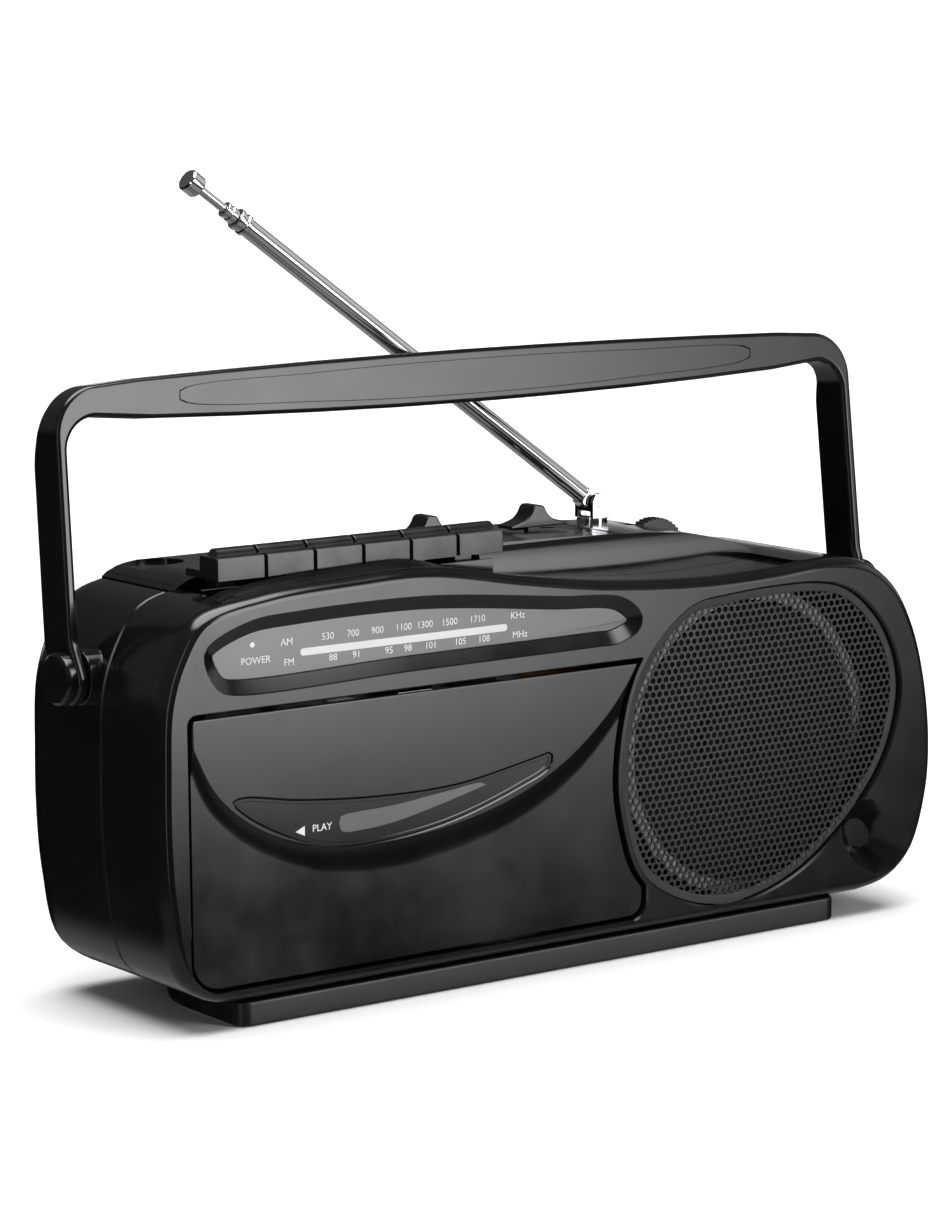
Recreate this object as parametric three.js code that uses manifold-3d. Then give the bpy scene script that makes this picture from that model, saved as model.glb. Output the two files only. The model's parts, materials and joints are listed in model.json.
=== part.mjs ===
// Portable radio-cassette recorder in glossy black ABS, with a swing handle and a telescopic antenna.
// Millimetres, +Z up, +X to the listener's right, front face towards -Y, origin under the middle.
import * as THREE from 'three';
import { mergeVertices } from 'three/addons/utils/BufferGeometryUtils.js';
import Module from 'manifold-3d';

const wasm = await Module();
wasm.setup();

// ---- driving dimensions -------------------------------------------------------------------
const BODY_WIDTH = 299.2;        // across the widest part of the case
const BODY_DEPTH = 80;           // front face to back face
const FRONT_SHELL_DEPTH = 34;    // front face to the seam between the two shells
const CREST_LEFT = 130.9;        // top of the case over the dial
const CREST_RIGHT = 118.3;       // top of the case over the loudspeaker
const PLINTH_HEIGHT = 8;
const WALL = 2.5;                // moulded wall of both shells
const FRONT_EDGE = { pull: 3.5, depth: 6 };  // how far the rounded front edge pulls in, and how deep it runs
const REAR_EDGE = { pull: 7, depth: 12 };    // the same for the back edge
const GAP = 0.3;                 // between pieces that sit together
const MOVING_GAP = 0.8;          // between pieces that move past each other

const DECK_TOP = 131.3;          // raised control deck
const DECK_LEFT = -126;
const DECK_RIGHT = 96.4;
const DECK_BACK = 32;

const KEY_COUNT = 6;
const KEY_PITCH = 17.4;
const KEY_WIDTH = KEY_PITCH - MOVING_GAP;
const KEYS_LEFT = -122;
const KEY_SHAFT_RADIUS = 1.5;

const DOOR_LEFT = -139;
const DOOR_RIGHT = 27;
const DOOR_BOTTOM = 13.5;
const DOOR_TOP = 94;
const DOOR_GAP = 1.3;
const DOOR_THICKNESS = 2.4;

const CASSETTE_WIDTH = 100.4;
const CASSETTE_HEIGHT = 63.8;
const CASSETTE_DEPTH = 12;
const CASSETTE_X = -56;          // middle of the cassette
const CASSETTE_Z = 17.3;         // its lower edge
const HUB_SPACING = 42.5;

const SPEAKER_X = 77;
const SPEAKER_Z = 62;
const SPEAKER_RADIUS = 50;
const GRILLE_RIM = 2;

const HANDLE_PIVOT_Y = 4.6;
const HANDLE_PIVOT_Z = 102.4;
const HANDLE_REACH = 88.2;       // pivot to the top of the grip bar
const HANDLE_LEAN = 5.5;         // degrees back from upright
const LEG_THICKNESS = 4;
const LEG_SIDE_GAP = 1.6;        // leg to the widest part of the case
const PIVOT_BOSS_RADIUS = 8.5;
const PIN_RADIUS = 3;

const ANTENNA_X = 57;
const ANTENNA_Y = 25;
const ANTENNA_Z = 135.5;
const ANTENNA_TILT = 54.3;       // degrees from upright, towards -X
const ANTENNA_RADIUS = 3;
const ANTENNA_LENGTH = 168.5;    // pivot to the end of the widest tube
const TUBE_STEP = 0.8;           // each tube is this much smaller in radius than the last

const BATTERY_WIDTH = 112;
const BATTERY_LOW = 15;
const BATTERY_HEIGHT = 54;
const BATTERY_DEPTH = 28;

// ---- values that follow from them ---------------------------------------------------------
const FRONT = -BODY_DEPTH / 2;
const BACK = BODY_DEPTH / 2;
const SIDE = BODY_WIDTH / 2;
const SEAM = FRONT + FRONT_SHELL_DEPTH;
const DECK_FRONT = SEAM - 3;
const KEYS_RIGHT = KEYS_LEFT + KEY_COUNT * KEY_PITCH;
const KEY_SHAFT_Y = SEAM + 6;
const KEY_SHAFT_Z = CREST_LEFT - 5.9;
const PLATE_FRONT = FRONT + 20;
const PLATE_BACK = PLATE_FRONT + 1.4;
const HUB_Z = CASSETTE_Z + 34.2;
const CAPSTAN = [CASSETTE_X + 26, CASSETTE_Z + 58.7];
const FLYWHEEL_RADIUS = 22;
const MOTOR = [CASSETTE_X - 42, CASSETTE_Z + 54.7];
const MOTOR_RADIUS = 15;
const PULLEY_RADIUS = 4;
const HEAD_PLATE_BACK = PLATE_FRONT - 3.3;

// ---- solids -------------------------------------------------------------------------------
function facingOut(geometry) {
  const bare = geometry.index ? geometry.toNonIndexed() : geometry.clone();
  bare.deleteAttribute('normal');
  bare.deleteAttribute('uv');
  const p = bare.attributes.position;
  const corner = [new THREE.Vector3(), new THREE.Vector3(), new THREE.Vector3()];
  let volume = 0;
  for (let i = 0; i < p.count; i += 3) {
    corner.forEach((v, k) => v.fromBufferAttribute(p, i + k));
    volume += corner[0].dot(corner[1].clone().cross(corner[2]));
  }
  if (volume < 0) {
    for (let i = 0; i < p.count; i += 3) {
      corner[1].fromBufferAttribute(p, i + 1);
      corner[2].fromBufferAttribute(p, i + 2);
      p.setXYZ(i + 1, ...corner[2].toArray());
      p.setXYZ(i + 2, ...corner[1].toArray());
    }
  }
  const merged = mergeVertices(bare, 1e-4);
  merged.computeVertexNormals();
  return merged;
}

function toSolid(geometry) {
  const closed = facingOut(geometry);
  return new wasm.Manifold(new wasm.Mesh({
    numProp: 3,
    vertProperties: new Float32Array(closed.attributes.position.array),
    triVerts: new Uint32Array(closed.index.array),
  }));
}

function toGeometry(solid) {
  const mesh = solid.getMesh();
  const geometry = new THREE.BufferGeometry();
  geometry.setAttribute('position', new THREE.BufferAttribute(mesh.vertProperties, 3));
  geometry.setIndex(new THREE.BufferAttribute(mesh.triVerts, 1));
  geometry.computeVertexNormals();
  return geometry;
}

function join(first, ...others) {
  return toGeometry(others.reduce((sum, other) => sum.add(toSolid(other)), toSolid(first)));
}

function cut(first, ...others) {
  return toGeometry(others.reduce((rest, other) => rest.subtract(toSolid(other)), toSolid(first)));
}

function common(first, second) {
  return toGeometry(toSolid(first).intersect(toSolid(second)));
}

function shapeOf(outline) {
  return new THREE.Shape(outline.map(([a, b]) => new THREE.Vector2(a, b)));
}

// A front-view outline (x, z) carried from one depth to another.
function slab(outline, front, back) {
  const solid = new THREE.ExtrudeGeometry(shapeOf(outline), { depth: back - front, bevelEnabled: false });
  return solid.rotateX(Math.PI / 2).translate(0, back, 0);
}

// A side-view outline (y, z) carried from left to right.
function bar(outline, left, right) {
  const solid = new THREE.ExtrudeGeometry(shapeOf(outline), { depth: right - left, bevelEnabled: false });
  const turn = new THREE.Matrix4().makeBasis(
    new THREE.Vector3(0, 1, 0), new THREE.Vector3(0, 0, 1), new THREE.Vector3(1, 0, 0));
  return solid.applyMatrix4(turn).translate(left, 0, 0);
}

function block(x, y, z) {
  const solid = new THREE.BoxGeometry(x[1] - x[0], y[1] - y[0], z[1] - z[0]);
  return solid.translate((x[0] + x[1]) / 2, (y[0] + y[1]) / 2, (z[0] + z[1]) / 2);
}

// Round rods along each axis; a is the first of the two other coordinates.
function rodY(radius, y, x, z, sides = 24) {
  return new THREE.CylinderGeometry(radius, radius, y[1] - y[0], sides).translate(x, (y[0] + y[1]) / 2, z);
}

function rodX(radius, x, y, z, sides = 24) {
  const rod = new THREE.CylinderGeometry(radius, radius, x[1] - x[0], sides).rotateZ(Math.PI / 2);
  return rod.translate((x[0] + x[1]) / 2, y, z);
}

function rodZ(radius, z, x, y, sides = 24) {
  const rod = new THREE.CylinderGeometry(radius, radius, z[1] - z[0], sides).rotateX(Math.PI / 2);
  return rod.translate(x, y, (z[0] + z[1]) / 2);
}

// A turned part about a front-to-back axis, from (radius, y) pairs that start and end on it.
function turned(profile, x, z, sides = 24) {
  return new THREE.LatheGeometry(profile.map(([r, y]) => new THREE.Vector2(r, y)), sides).translate(x, 0, z);
}

// A rounded rectangle; radii run from the lower left corner counter-clockwise.
function roundedBox(x, z, radii, steps = 5) {
  const centres = [
    [x[0] + radii[0], z[0] + radii[0]], [x[1] - radii[1], z[0] + radii[1]],
    [x[1] - radii[2], z[1] - radii[2]], [x[0] + radii[3], z[1] - radii[3]],
  ];
  return centres.flatMap(([cx, cz], i) => Array.from({ length: steps + 1 }, (_, k) => {
    const angle = Math.PI + (i + k / steps) * Math.PI / 2;
    return [cx + radii[i] * Math.cos(angle), cz + radii[i] * Math.sin(angle)];
  }));
}

// An even, smooth closed outline through a few points.
function smooth(points, count) {
  const curve = new THREE.CatmullRomCurve3(points.map(([a, b]) => new THREE.Vector3(a, b, 0)), true, 'centripetal');
  return curve.getSpacedPoints(count).slice(0, count).map((p) => [p.x, p.y]);
}

// Moves a counter-clockwise outline inwards; a negative distance moves it out.
function inset(outline, distance) {
  return outline.map(([x, z], i) => {
    const [ax, az] = outline.at(i - 1);
    const [bx, bz] = outline[(i + 1) % outline.length];
    const length = Math.hypot(bx - ax, bz - az);
    return [x - (bz - az) / length * distance, z + (bx - ax) / length * distance];
  });
}

// A closed body through outlines of equal count, each at its own depth.
function loft(rings) {
  const count = rings[0].outline.length;
  const points = rings.flatMap(({ y, outline }) => outline.map(([x, z]) => [x, y, z]));
  const faces = [];
  for (let r = 0; r + 1 < rings.length; r += 1) {
    for (let i = 0; i < count; i += 1) {
      const j = (i + 1) % count;
      const [a, b, c, d] = [r * count + i, r * count + j, (r + 1) * count + j, (r + 1) * count + i];
      faces.push(a, b, c, a, c, d);
    }
  }
  const last = (rings.length - 1) * count;
  const flat = (ring) => ring.outline.map(([x, z]) => new THREE.Vector2(x, z));
  THREE.ShapeUtils.triangulateShape(flat(rings[0]), []).forEach(([a, b, c]) => faces.push(a, c, b));
  THREE.ShapeUtils.triangulateShape(flat(rings.at(-1)), [])
    .forEach(([a, b, c]) => faces.push(last + a, last + b, last + c));
  const geometry = new THREE.BufferGeometry();
  geometry.setAttribute('position', new THREE.Float32BufferAttribute(points.flat(), 3));
  geometry.setIndex(faces);
  return geometry;
}

// The case form: an outline with rounded front and back edges.
function roundedCase(outline, front, back, wall, steps = 3) {
  const ringsFrom = (end, way, { pull, depth }) => Array.from({ length: steps + 1 }, (_, k) => {
    const angle = (k / steps) * Math.PI / 2;
    return { y: end + way * (depth - wall) * (1 - Math.cos(angle)), outline: inset(outline, pull * (1 - Math.sin(angle))) };
  });
  return loft([...ringsFrom(front, 1, FRONT_EDGE), ...ringsFrom(back, -1, REAR_EDGE).reverse()]);
}

// ---- finishes -----------------------------------------------------------------------------
const FINISH = {
  gloss: { color: 0x141416, roughness: 0.16, metalness: 0 },
  satin: { color: 0x1d1d20, roughness: 0.45, metalness: 0 },
  grille: { color: 0x1a1a1c, roughness: 0.5, metalness: 0.4 },
  lens: { color: 0x75787b, roughness: 0.12, metalness: 0 },
  card: { color: 0x8d9093, roughness: 0.6, metalness: 0 },
  chrome: { color: 0xd9dbde, roughness: 0.1, metalness: 1 },
  steel: { color: 0xa7aaad, roughness: 0.35, metalness: 0.9 },
  brass: { color: 0xb8964f, roughness: 0.35, metalness: 0.9 },
  rubber: { color: 0x232323, roughness: 0.85, metalness: 0 },
  paper: { color: 0x2a2926, roughness: 0.95, metalness: 0 },
  board: { color: 0xa8743a, roughness: 0.6, metalness: 0 },
  red: { color: 0xc3241c, roughness: 0.35, metalness: 0 },
  white: { color: 0xe6e4dd, roughness: 0.5, metalness: 0 },
};

const recorder = new THREE.Group();

function add(name, finish, geometry) {
  const mesh = new THREE.Mesh(facingOut(geometry), new THREE.MeshStandardMaterial(FINISH[finish]));
  mesh.name = name;
  recorder.add(mesh);
  return mesh;
}

// ---- outlines seen from the front ---------------------------------------------------------
const bodyOutline = smooth([
  [26 - SIDE, PLINTH_HEIGHT], [-60, PLINTH_HEIGHT], [40, PLINTH_HEIGHT], [SIDE - 32, PLINTH_HEIGHT],
  [SIDE - 17.6, PLINTH_HEIGHT + 3.1], [SIDE - 8, PLINTH_HEIGHT + 11.3], [SIDE - 1.5, 37.4], [SIDE, 54],
  [SIDE - 2.2, 75.3], [SIDE - 7.7, 94.6], [SIDE - 16.5, 109.3], [SIDE - 28.6, CREST_RIGHT - 0.9],
  [104, CREST_RIGHT + 1.5], [81.6, CREST_RIGHT + 0.4], [52.7, CREST_RIGHT], [12.8, CREST_RIGHT + 2.7],
  [-18, CREST_LEFT - 5.5], [-51.7, CREST_LEFT], [-80.8, CREST_LEFT - 0.2], [-112, CREST_LEFT - 2.1],
  [14.4 - SIDE, CREST_LEFT - 7.4], [6 - SIDE, 112.5], [1.2 - SIDE, 98.8], [-SIDE, 77], [-SIDE, 56],
  [1.4 - SIDE, 38.7], [6.2 - SIDE, PLINTH_HEIGHT + 9.5], [16.6 - SIDE, PLINTH_HEIGHT + 1.6],
], 68).map(([x, z]) => [x, Math.max(z, PLINTH_HEIGHT)]);

const speakerOutline = smooth([
  [-58.1, -4.3], [-55.7, -20.5], [-51, -33.4], [-42.9, -41.5], [-26.6, -48.7], [-10, -50], [11, -44.7],
  [28.1, -34.7], [45.3, -18.6], [53.9, -4.6], [57.7, 11.7], [55.8, 23.5], [49.1, 35.8], [36, 46.9],
  [23.1, 50.4], [-14.5, 50], [-30.8, 47.4], [-46.9, 34.1], [-54, 20.6],
].map(([x, z]) => [SPEAKER_X + x, SPEAKER_Z + z]), 48);

const dialOutline = smooth([
  [-130.4, 102.5], [-126.4, 100.4], [-60, 100.6], [9.6, 100.8], [16.7, 100.9], [25.4, 104.6], [26.4, 108.9],
  [19.5, 115], [-5.8, 117.9], [-47.3, 122.2], [-65.6, 123], [-101.3, 122.6], [-118.7, 121.2], [-133.4, 114.9],
  [-134.6, 111],
], 44);
const DIAL_BEVEL = 4.2;
const LENS_FRONT = FRONT + 2.4;

// ---- case ---------------------------------------------------------------------------------
const caseOuter = roundedCase(bodyOutline, FRONT, BACK, 0);
const caseInner = roundedCase(inset(bodyOutline, WALL), FRONT + WALL, BACK - WALL, WALL);
const caseWalls = cut(caseOuter, caseInner);
const everywhere = [-2 * SIDE, 2 * SIDE];

function deckWindow(front, back) {
  return block([DECK_LEFT - GAP, DECK_RIGHT + GAP], [front, back + GAP], [CREST_RIGHT - 8, DECK_TOP + 10]);
}

const keyWindow = block(
  [KEYS_LEFT - 1.6, KEYS_RIGHT + 1.6], [DECK_FRONT - 20.2, SEAM + 1], [CREST_RIGHT - 8, DECK_TOP + 10]);

const DISH = { x: 123, z: 26, mouth: 13.5, floor: 5.5, depth: 8.2, wall: 1.8, turn: 40 };

function dishCone(extra) {
  const cone = new THREE.CylinderGeometry(DISH.floor + extra, DISH.mouth + extra, DISH.depth + extra, 12);
  return cone.scale(1.2, 1, 0.82).rotateY(THREE.MathUtils.degToRad(DISH.turn))
    .translate(DISH.x, FRONT + (DISH.depth + extra) / 2, DISH.z);
}

const doorFrame = roundedBox([DOOR_LEFT, DOOR_RIGHT], [DOOR_BOTTOM, DOOR_TOP], [9, 5, 1.5, 1.5]);
const speakerClear = (extra, front, back) => slab(inset(speakerOutline, -extra), front, back);

function frontShell() {
  const front = common(caseWalls, block(everywhere, [FRONT - 1, SEAM - GAP / 2], [0, 200]));
  const grilleRim = cut(speakerClear(GRILLE_RIM, FRONT + 0.4, FRONT + 6),
    speakerClear(0, FRONT - 1, FRONT + 8));
  const dish = common(dishCone(DISH.wall), caseOuter);
  const doorOpening = cut(slab(inset(doorFrame, -DOOR_GAP), FRONT - 1, FRONT + 12),
    speakerClear(GRILLE_RIM, FRONT - 2, FRONT + 13));
  const dialBevel = loft([
    { y: FRONT - 1, outline: inset(dialOutline, -1.5) },
    { y: LENS_FRONT, outline: inset(dialOutline, DIAL_BEVEL - GAP) },
    { y: FRONT + 9, outline: inset(dialOutline, DIAL_BEVEL - GAP) },
  ]);
  return cut(join(front, grilleRim, dish), speakerClear(0, FRONT - 1, FRONT + 8), doorOpening, dialBevel,
    dishCone(0), keyWindow, deckWindow(DECK_FRONT - 3 - GAP, SEAM));
}

function sides(build) {
  return [-1, 1].map(build);
}

const bossReach = SIDE + LEG_SIDE_GAP - GAP;
const HINGE_BOSS_DEPTH = 14;

function rearShell() {
  const back = common(caseWalls, block(everywhere, [SEAM + GAP / 2, BACK + 1], [0, 200]));
  const bosses = sides((side) => {
    const ends = [side * (SIDE - HINGE_BOSS_DEPTH), side * bossReach].sort((a, b) => a - b);
    return rodX(PIVOT_BOSS_RADIUS, ends, HANDLE_PIVOT_Y, HANDLE_PIVOT_Z);
  });
  const bores = rodX(PIN_RADIUS + GAP, everywhere, HANDLE_PIVOT_Y, HANDLE_PIVOT_Z);
  const batteryOpening = slab(
    roundedBox([-BATTERY_WIDTH / 2 - 5, BATTERY_WIDTH / 2 + 5], [BATTERY_LOW - 2, BATTERY_LOW + BATTERY_HEIGHT + 2],
      [1, 1, 3, 3]), BACK - 6, BACK + 1);
  const inletOpening = slab(roundedBox([-129, -106], [23, 38], [3, 3, 3, 3]), BACK - 8, BACK + 1);
  const jackOpening = rodX(4.3, [SIDE - 20, SIDE + 5], 24, 88);
  const wheelOpening = block([SIDE - 12, SIDE + 5], [9, 19], [41, 69]);
  const screwHoles = screwPlaces.map(([x, z]) => rodY(3.8, [BACK - 2, BACK + 1], x, z, 16));
  const screwPosts = screwPlaces.map(([x, z]) => rodY(5.2, [BACK - 12, BACK - 1], x, z, 12));
  return cut(join(back, ...bosses, ...screwPosts), bores, batteryOpening, inletOpening, jackOpening,
    wheelOpening, deckWindow(SEAM - 1, DECK_BACK), ...screwHoles);
}

const screwPlaces = [[-118, 58], [SIDE - 24, 30], [-100, 112], [104, 104]];

function topDeck() {
  const ridge = [
    [DECK_LEFT, CREST_RIGHT - 2], [DECK_RIGHT, CREST_RIGHT - 2], [DECK_RIGHT, 120], [83, 124.9], [67, DECK_TOP - 2.9],
    [34, DECK_TOP - 0.9], [0, DECK_TOP], [DECK_LEFT + 8, DECK_TOP], [DECK_LEFT + 2, DECK_TOP - 1],
    [DECK_LEFT, DECK_TOP - 2.6],
  ];
  const side = [
    [DECK_FRONT - 3, CREST_RIGHT - 2], [DECK_BACK, CREST_RIGHT - 2], [DECK_BACK, DECK_TOP - 2],
    [DECK_BACK - 2, DECK_TOP + 1], [DECK_FRONT, DECK_TOP + 1], [DECK_FRONT, DECK_TOP - 1.5],
    [DECK_FRONT - 3, CREST_RIGHT + 1.5],
  ];
  const outer = common(slab(ridge, DECK_FRONT - 3, DECK_BACK), bar(side, DECK_LEFT, DECK_RIGHT));
  const wall = 2.2;
  const inner = common(
    slab(inset(ridge, wall).map(([x, z]) => [x, Math.max(z, CREST_RIGHT - 3)])
      .map(([x, z], i) => (i < 2 ? [x, CREST_RIGHT - 4] : [x, z])), DECK_FRONT - 3 + wall, DECK_BACK - wall),
    bar(inset(side, wall).map(([y, z], i) => (i < 2 ? [y, CREST_RIGHT - 4] : [y, z])), DECK_LEFT, DECK_RIGHT));
  const keyPassage = block([KEYS_LEFT - 1.6, KEYS_RIGHT + 3], [DECK_FRONT - 4, DECK_FRONT + 4],
    [CREST_RIGHT - 4, DECK_TOP - wall - 0.6]);
  const keyFront = block([DECK_LEFT - 1, KEYS_RIGHT + 1.6], [DECK_FRONT - 4, DECK_FRONT], [CREST_RIGHT - 4, 140]);
  const knobSlots = switchKnobs.map(({ x }) => block([x - 9, x + 9], [KNOB_Y - 1.6, KNOB_Y + 1.6], [120, 140]));
  const wheelSlot = block([VOLUME.x - VOLUME.radius - 0.6, VOLUME.x + VOLUME.radius + 0.6],
    [VOLUME.front - 0.6, VOLUME.back + 0.6], [CREST_RIGHT - 1, DECK_TOP + 9]);
  const antennaHole = rodZ(5 + GAP, [110, 140], ANTENNA_X, ANTENNA_Y, 20);
  const tipRecess = rodZ(8, [DECK_TOP - 1.2, DECK_TOP + 2], 0, 0, 16).scale(1.15, 1, 1)
    .translate(DECK_LEFT + 13.5, ANTENNA_Y - 3, 0);
  return cut(outer, inner, keyPassage, keyFront, ...knobSlots, wheelSlot, antennaHole, tipRecess);
}

function basePlinth() {
  const foot = roundedBox([26 - SIDE, SIDE - 40], [FRONT + 2, BACK - 6], [5, 5, 45, 45]);
  const outer = new THREE.ExtrudeGeometry(shapeOf(foot), { depth: PLINTH_HEIGHT - GAP, bevelEnabled: false });
  const hollow = new THREE.ExtrudeGeometry(shapeOf(inset(foot, WALL)), { depth: PLINTH_HEIGHT, bevelEnabled: false });
  return cut(outer, hollow.translate(0, 0, WALL));
}

function batteryDoor() {
  const panel = slab(roundedBox([-BATTERY_WIDTH / 2 - 4.2, BATTERY_WIDTH / 2 + 4.2],
    [BATTERY_LOW - 1.2, BATTERY_LOW + BATTERY_HEIGHT + 1.2], [2.4, 2.4, 2.4, 2.4]), BACK - 2.3, BACK);
  const thumbGrip = block([-9, 9], [BACK - 1, BACK + 1], [BATTERY_LOW + BATTERY_HEIGHT - 9, BATTERY_LOW + BATTERY_HEIGHT - 4]);
  return cut(panel, thumbGrip);
}

// ---- control deck -------------------------------------------------------------------------
const KNOB_Y = SEAM + 21;
const switchKnobs = [{ name: 'function_switch_knob', x: 25 }, { name: 'band_switch_knob', x: -17 }];
const VOLUME = { x: 74.5, z: CREST_RIGHT, radius: 12, front: SEAM + 18.5, back: SEAM + 23.5 };
const TUNING = { x: SIDE - 13.2, z: 55, radius: 16, front: 10.5, back: 17.5 };

function switchKnob(x) {
  const base = DECK_TOP + GAP;
  const wings = [[-11, 0], [11, 0], [9.6, 1.3], [4.6, 2.2], [1.9, 5.4], [1.3, 6.8], [-1.3, 6.8], [-1.9, 5.4],
    [-4.6, 2.2], [-9.6, 1.3]].map(([dx, dz]) => [x + dx, base + dz]);
  const stem = block([x - 2.4, x + 2.4], [KNOB_Y - 1.1, KNOB_Y + 1.1], [DECK_TOP - 3.4, base + 0.5]);
  return join(slab(wings, KNOB_Y - 4, KNOB_Y + 4), stem);
}

function knurledWheel(wheel, grooves) {
  const rim = Array.from({ length: grooves * 2 }, (_, i) => {
    const radius = wheel.radius - (i % 2) * 0.7;
    const angle = i * Math.PI / grooves;
    return [wheel.x + radius * Math.cos(angle), wheel.z + radius * Math.sin(angle)];
  });
  return cut(slab(rim, wheel.front, wheel.back), rodY(2.3, [wheel.front - 1, wheel.back + 1], wheel.x, wheel.z, 12));
}

function pianoKey(index) {
  const left = KEYS_LEFT + index * KEY_PITCH + (KEY_PITCH - KEY_WIDTH) / 2;
  const front = DECK_FRONT - 18.5;
  const low = CREST_LEFT + 0.7;
  const cap = [
    [front, low], [DECK_FRONT - MOVING_GAP, low], [DECK_FRONT - MOVING_GAP, low + 2.4], [front + 10, low + 2.4],
    [front + 9.7, low + 7.8], [front + 8.6, low + 8.8], [front + 6, low + 8.8], [front + 5, low + 8],
    [front + 4.6, low + 6.9], [front + 1, low + 6.9], [front, low + 6.1],
  ];
  const arm = [
    [DECK_FRONT - 9, low + 1], [DECK_FRONT - 9, KEY_SHAFT_Z - 1.5], [KEY_SHAFT_Y, KEY_SHAFT_Z - 2.6],
    [KEY_SHAFT_Y, KEY_SHAFT_Z + 2.2], [DECK_FRONT - 3, KEY_SHAFT_Z + 2.2], [DECK_FRONT - 3, low + 1],
  ];
  const middle = left + KEY_WIDTH / 2;
  const eye = rodX(3, [middle - 3, middle + 3], KEY_SHAFT_Y, KEY_SHAFT_Z, 16);
  const bore = rodX(KEY_SHAFT_RADIUS + 0.2, [left, left + KEY_WIDTH], KEY_SHAFT_Y, KEY_SHAFT_Z, 16);
  return cut(join(bar(cap, left, left + KEY_WIDTH), bar(arm, middle - 3, middle + 3), eye), bore);
}

// ---- dial ---------------------------------------------------------------------------------
const POINTER_X = -103;
const LED = [-116.5, 113.8];

function dialPlate() {
  const plate = slab(inset(dialOutline, DIAL_BEVEL + 1.2), LENS_FRONT + 3, LENS_FRONT + 4.2);
  return cut(plate, rodY(1.9, [LENS_FRONT, LENS_FRONT + 8], LED[0], LED[1], 12));
}

// ---- cassette door and tape mechanism -----------------------------------------------------
const windowOutline = smooth([
  [-125.6, 68.6], [-122.6, 65], [-109.5, 57.1], [-91.9, 50.9], [-73.9, 49.2], [-48.1, 51.8], [-21.6, 59.7],
  [-9.4, 65.2], [-9, 69.8], [-13.8, 69.2], [-44.2, 64], [-73.7, 63.9], [-102.3, 66.3], [-122, 69.6],
], 36);
const DOOR_FRONT = FRONT + 0.3;

function cassetteDoor() {
  const panel = cut(slab(doorFrame, DOOR_FRONT, DOOR_FRONT + DOOR_THICKNESS),
    speakerClear(GRILLE_RIM + DOOR_GAP, FRONT - 1, FRONT + 5));
  const windowSeat = slab(windowOutline, DOOR_FRONT - 1, DOOR_FRONT + 1.3);
  const viewHole = slab(roundedBox([CASSETTE_X - 30, CASSETTE_X + 22], [54.5, 62.5], [2, 2, 1, 1], 2),
    DOOR_FRONT - 1, DOOR_FRONT + 5);
  return cut(panel, windowSeat, viewHole);
}

const HOLDER_FRONT = DOOR_FRONT + DOOR_THICKNESS + GAP;
const HOLDER_BACK = HOLDER_FRONT + CASSETTE_DEPTH + 1;

function cassetteHolder() {
  const half = CASSETTE_WIDTH / 2 + 0.8;
  const wall = 1.4;
  const low = CASSETTE_Z - 0.4;
  const high = CASSETTE_Z + CASSETTE_HEIGHT - 4;
  const tray = block([CASSETTE_X - half - wall, CASSETTE_X + half + wall], [HOLDER_FRONT, HOLDER_BACK + wall],
    [low - wall, high]);
  const pocket = block([CASSETTE_X - half, CASSETTE_X + half], [HOLDER_FRONT - 1, HOLDER_BACK], [low, high + 1]);
  const backOpening = block([CASSETTE_X - half + 5, CASSETTE_X + half - 5], [HOLDER_BACK - 1, HOLDER_BACK + 5],
    [low + 5, high + 1]);
  return cut(tray, pocket, backOpening);
}

function deckChassis() {
  const right = CASSETTE_X + CASSETTE_WIDTH / 2 - 0.5;
  const plate = block([KEYS_LEFT, right], [PLATE_FRONT, PLATE_BACK], [20, 112]);
  const ears = [KEYS_LEFT - 1.3, KEYS_RIGHT + 0.3].map((x) => {
    const ear = [[PLATE_FRONT, 100], [PLATE_BACK, 100], [KEY_SHAFT_Y + 3.5, KEY_SHAFT_Z - 4],
      [KEY_SHAFT_Y + 3.5, KEY_SHAFT_Z + 2.8], [KEY_SHAFT_Y - 3.5, KEY_SHAFT_Z + 2.8], [PLATE_FRONT, 112]];
    return bar(ear, x, x + 1.1);
  });
  const shelf = block([KEYS_LEFT - 1.3, KEYS_RIGHT + 1.4], [PLATE_FRONT, PLATE_BACK], [98, 108]);
  const hubHoles = [-1, 1].map((side) => (
    rodY(2.4, [PLATE_FRONT - 1, PLATE_BACK + 1], CASSETTE_X + side * HUB_SPACING / 2, HUB_Z, 12)));
  const capstanHole = rodY(2, [PLATE_FRONT - 1, PLATE_BACK + 1], ...CAPSTAN, 12);
  const shaftHole = rodX(KEY_SHAFT_RADIUS + GAP, [KEYS_LEFT - 3, KEYS_RIGHT + 3], KEY_SHAFT_Y, KEY_SHAFT_Z, 12);
  return cut(join(plate, ...ears, shelf), ...hubHoles, capstanHole, shaftHole);
}

function tapeSpindle(side) {
  const x = CASSETTE_X + side * HUB_SPACING / 2;
  const tip = HOLDER_FRONT + 5.5;
  const flange = PLATE_FRONT - 1.2;
  const hub = turned([[0, tip], [1.4, tip], [2.6, tip + 2], [2.8, flange - 1.6], [7.5, flange - 1.6],
    [7.5, flange], [1.6, flange], [1.6, PLATE_BACK + 1], [0, PLATE_BACK + 1]], x, HUB_Z, 16);
  const splines = [0, 1, 2].map((i) => block([-0.5, 0.5], [tip + 2.4, flange - 1.4], [2, 4.3])
    .rotateY(i * 2 * Math.PI / 3).translate(x, 0, HUB_Z));
  return join(hub, ...splines);
}

const FLYWHEEL_FRONT = PLATE_BACK + 2.4;
const FLYWHEEL_BACK = FLYWHEEL_FRONT + 4.6;

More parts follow.
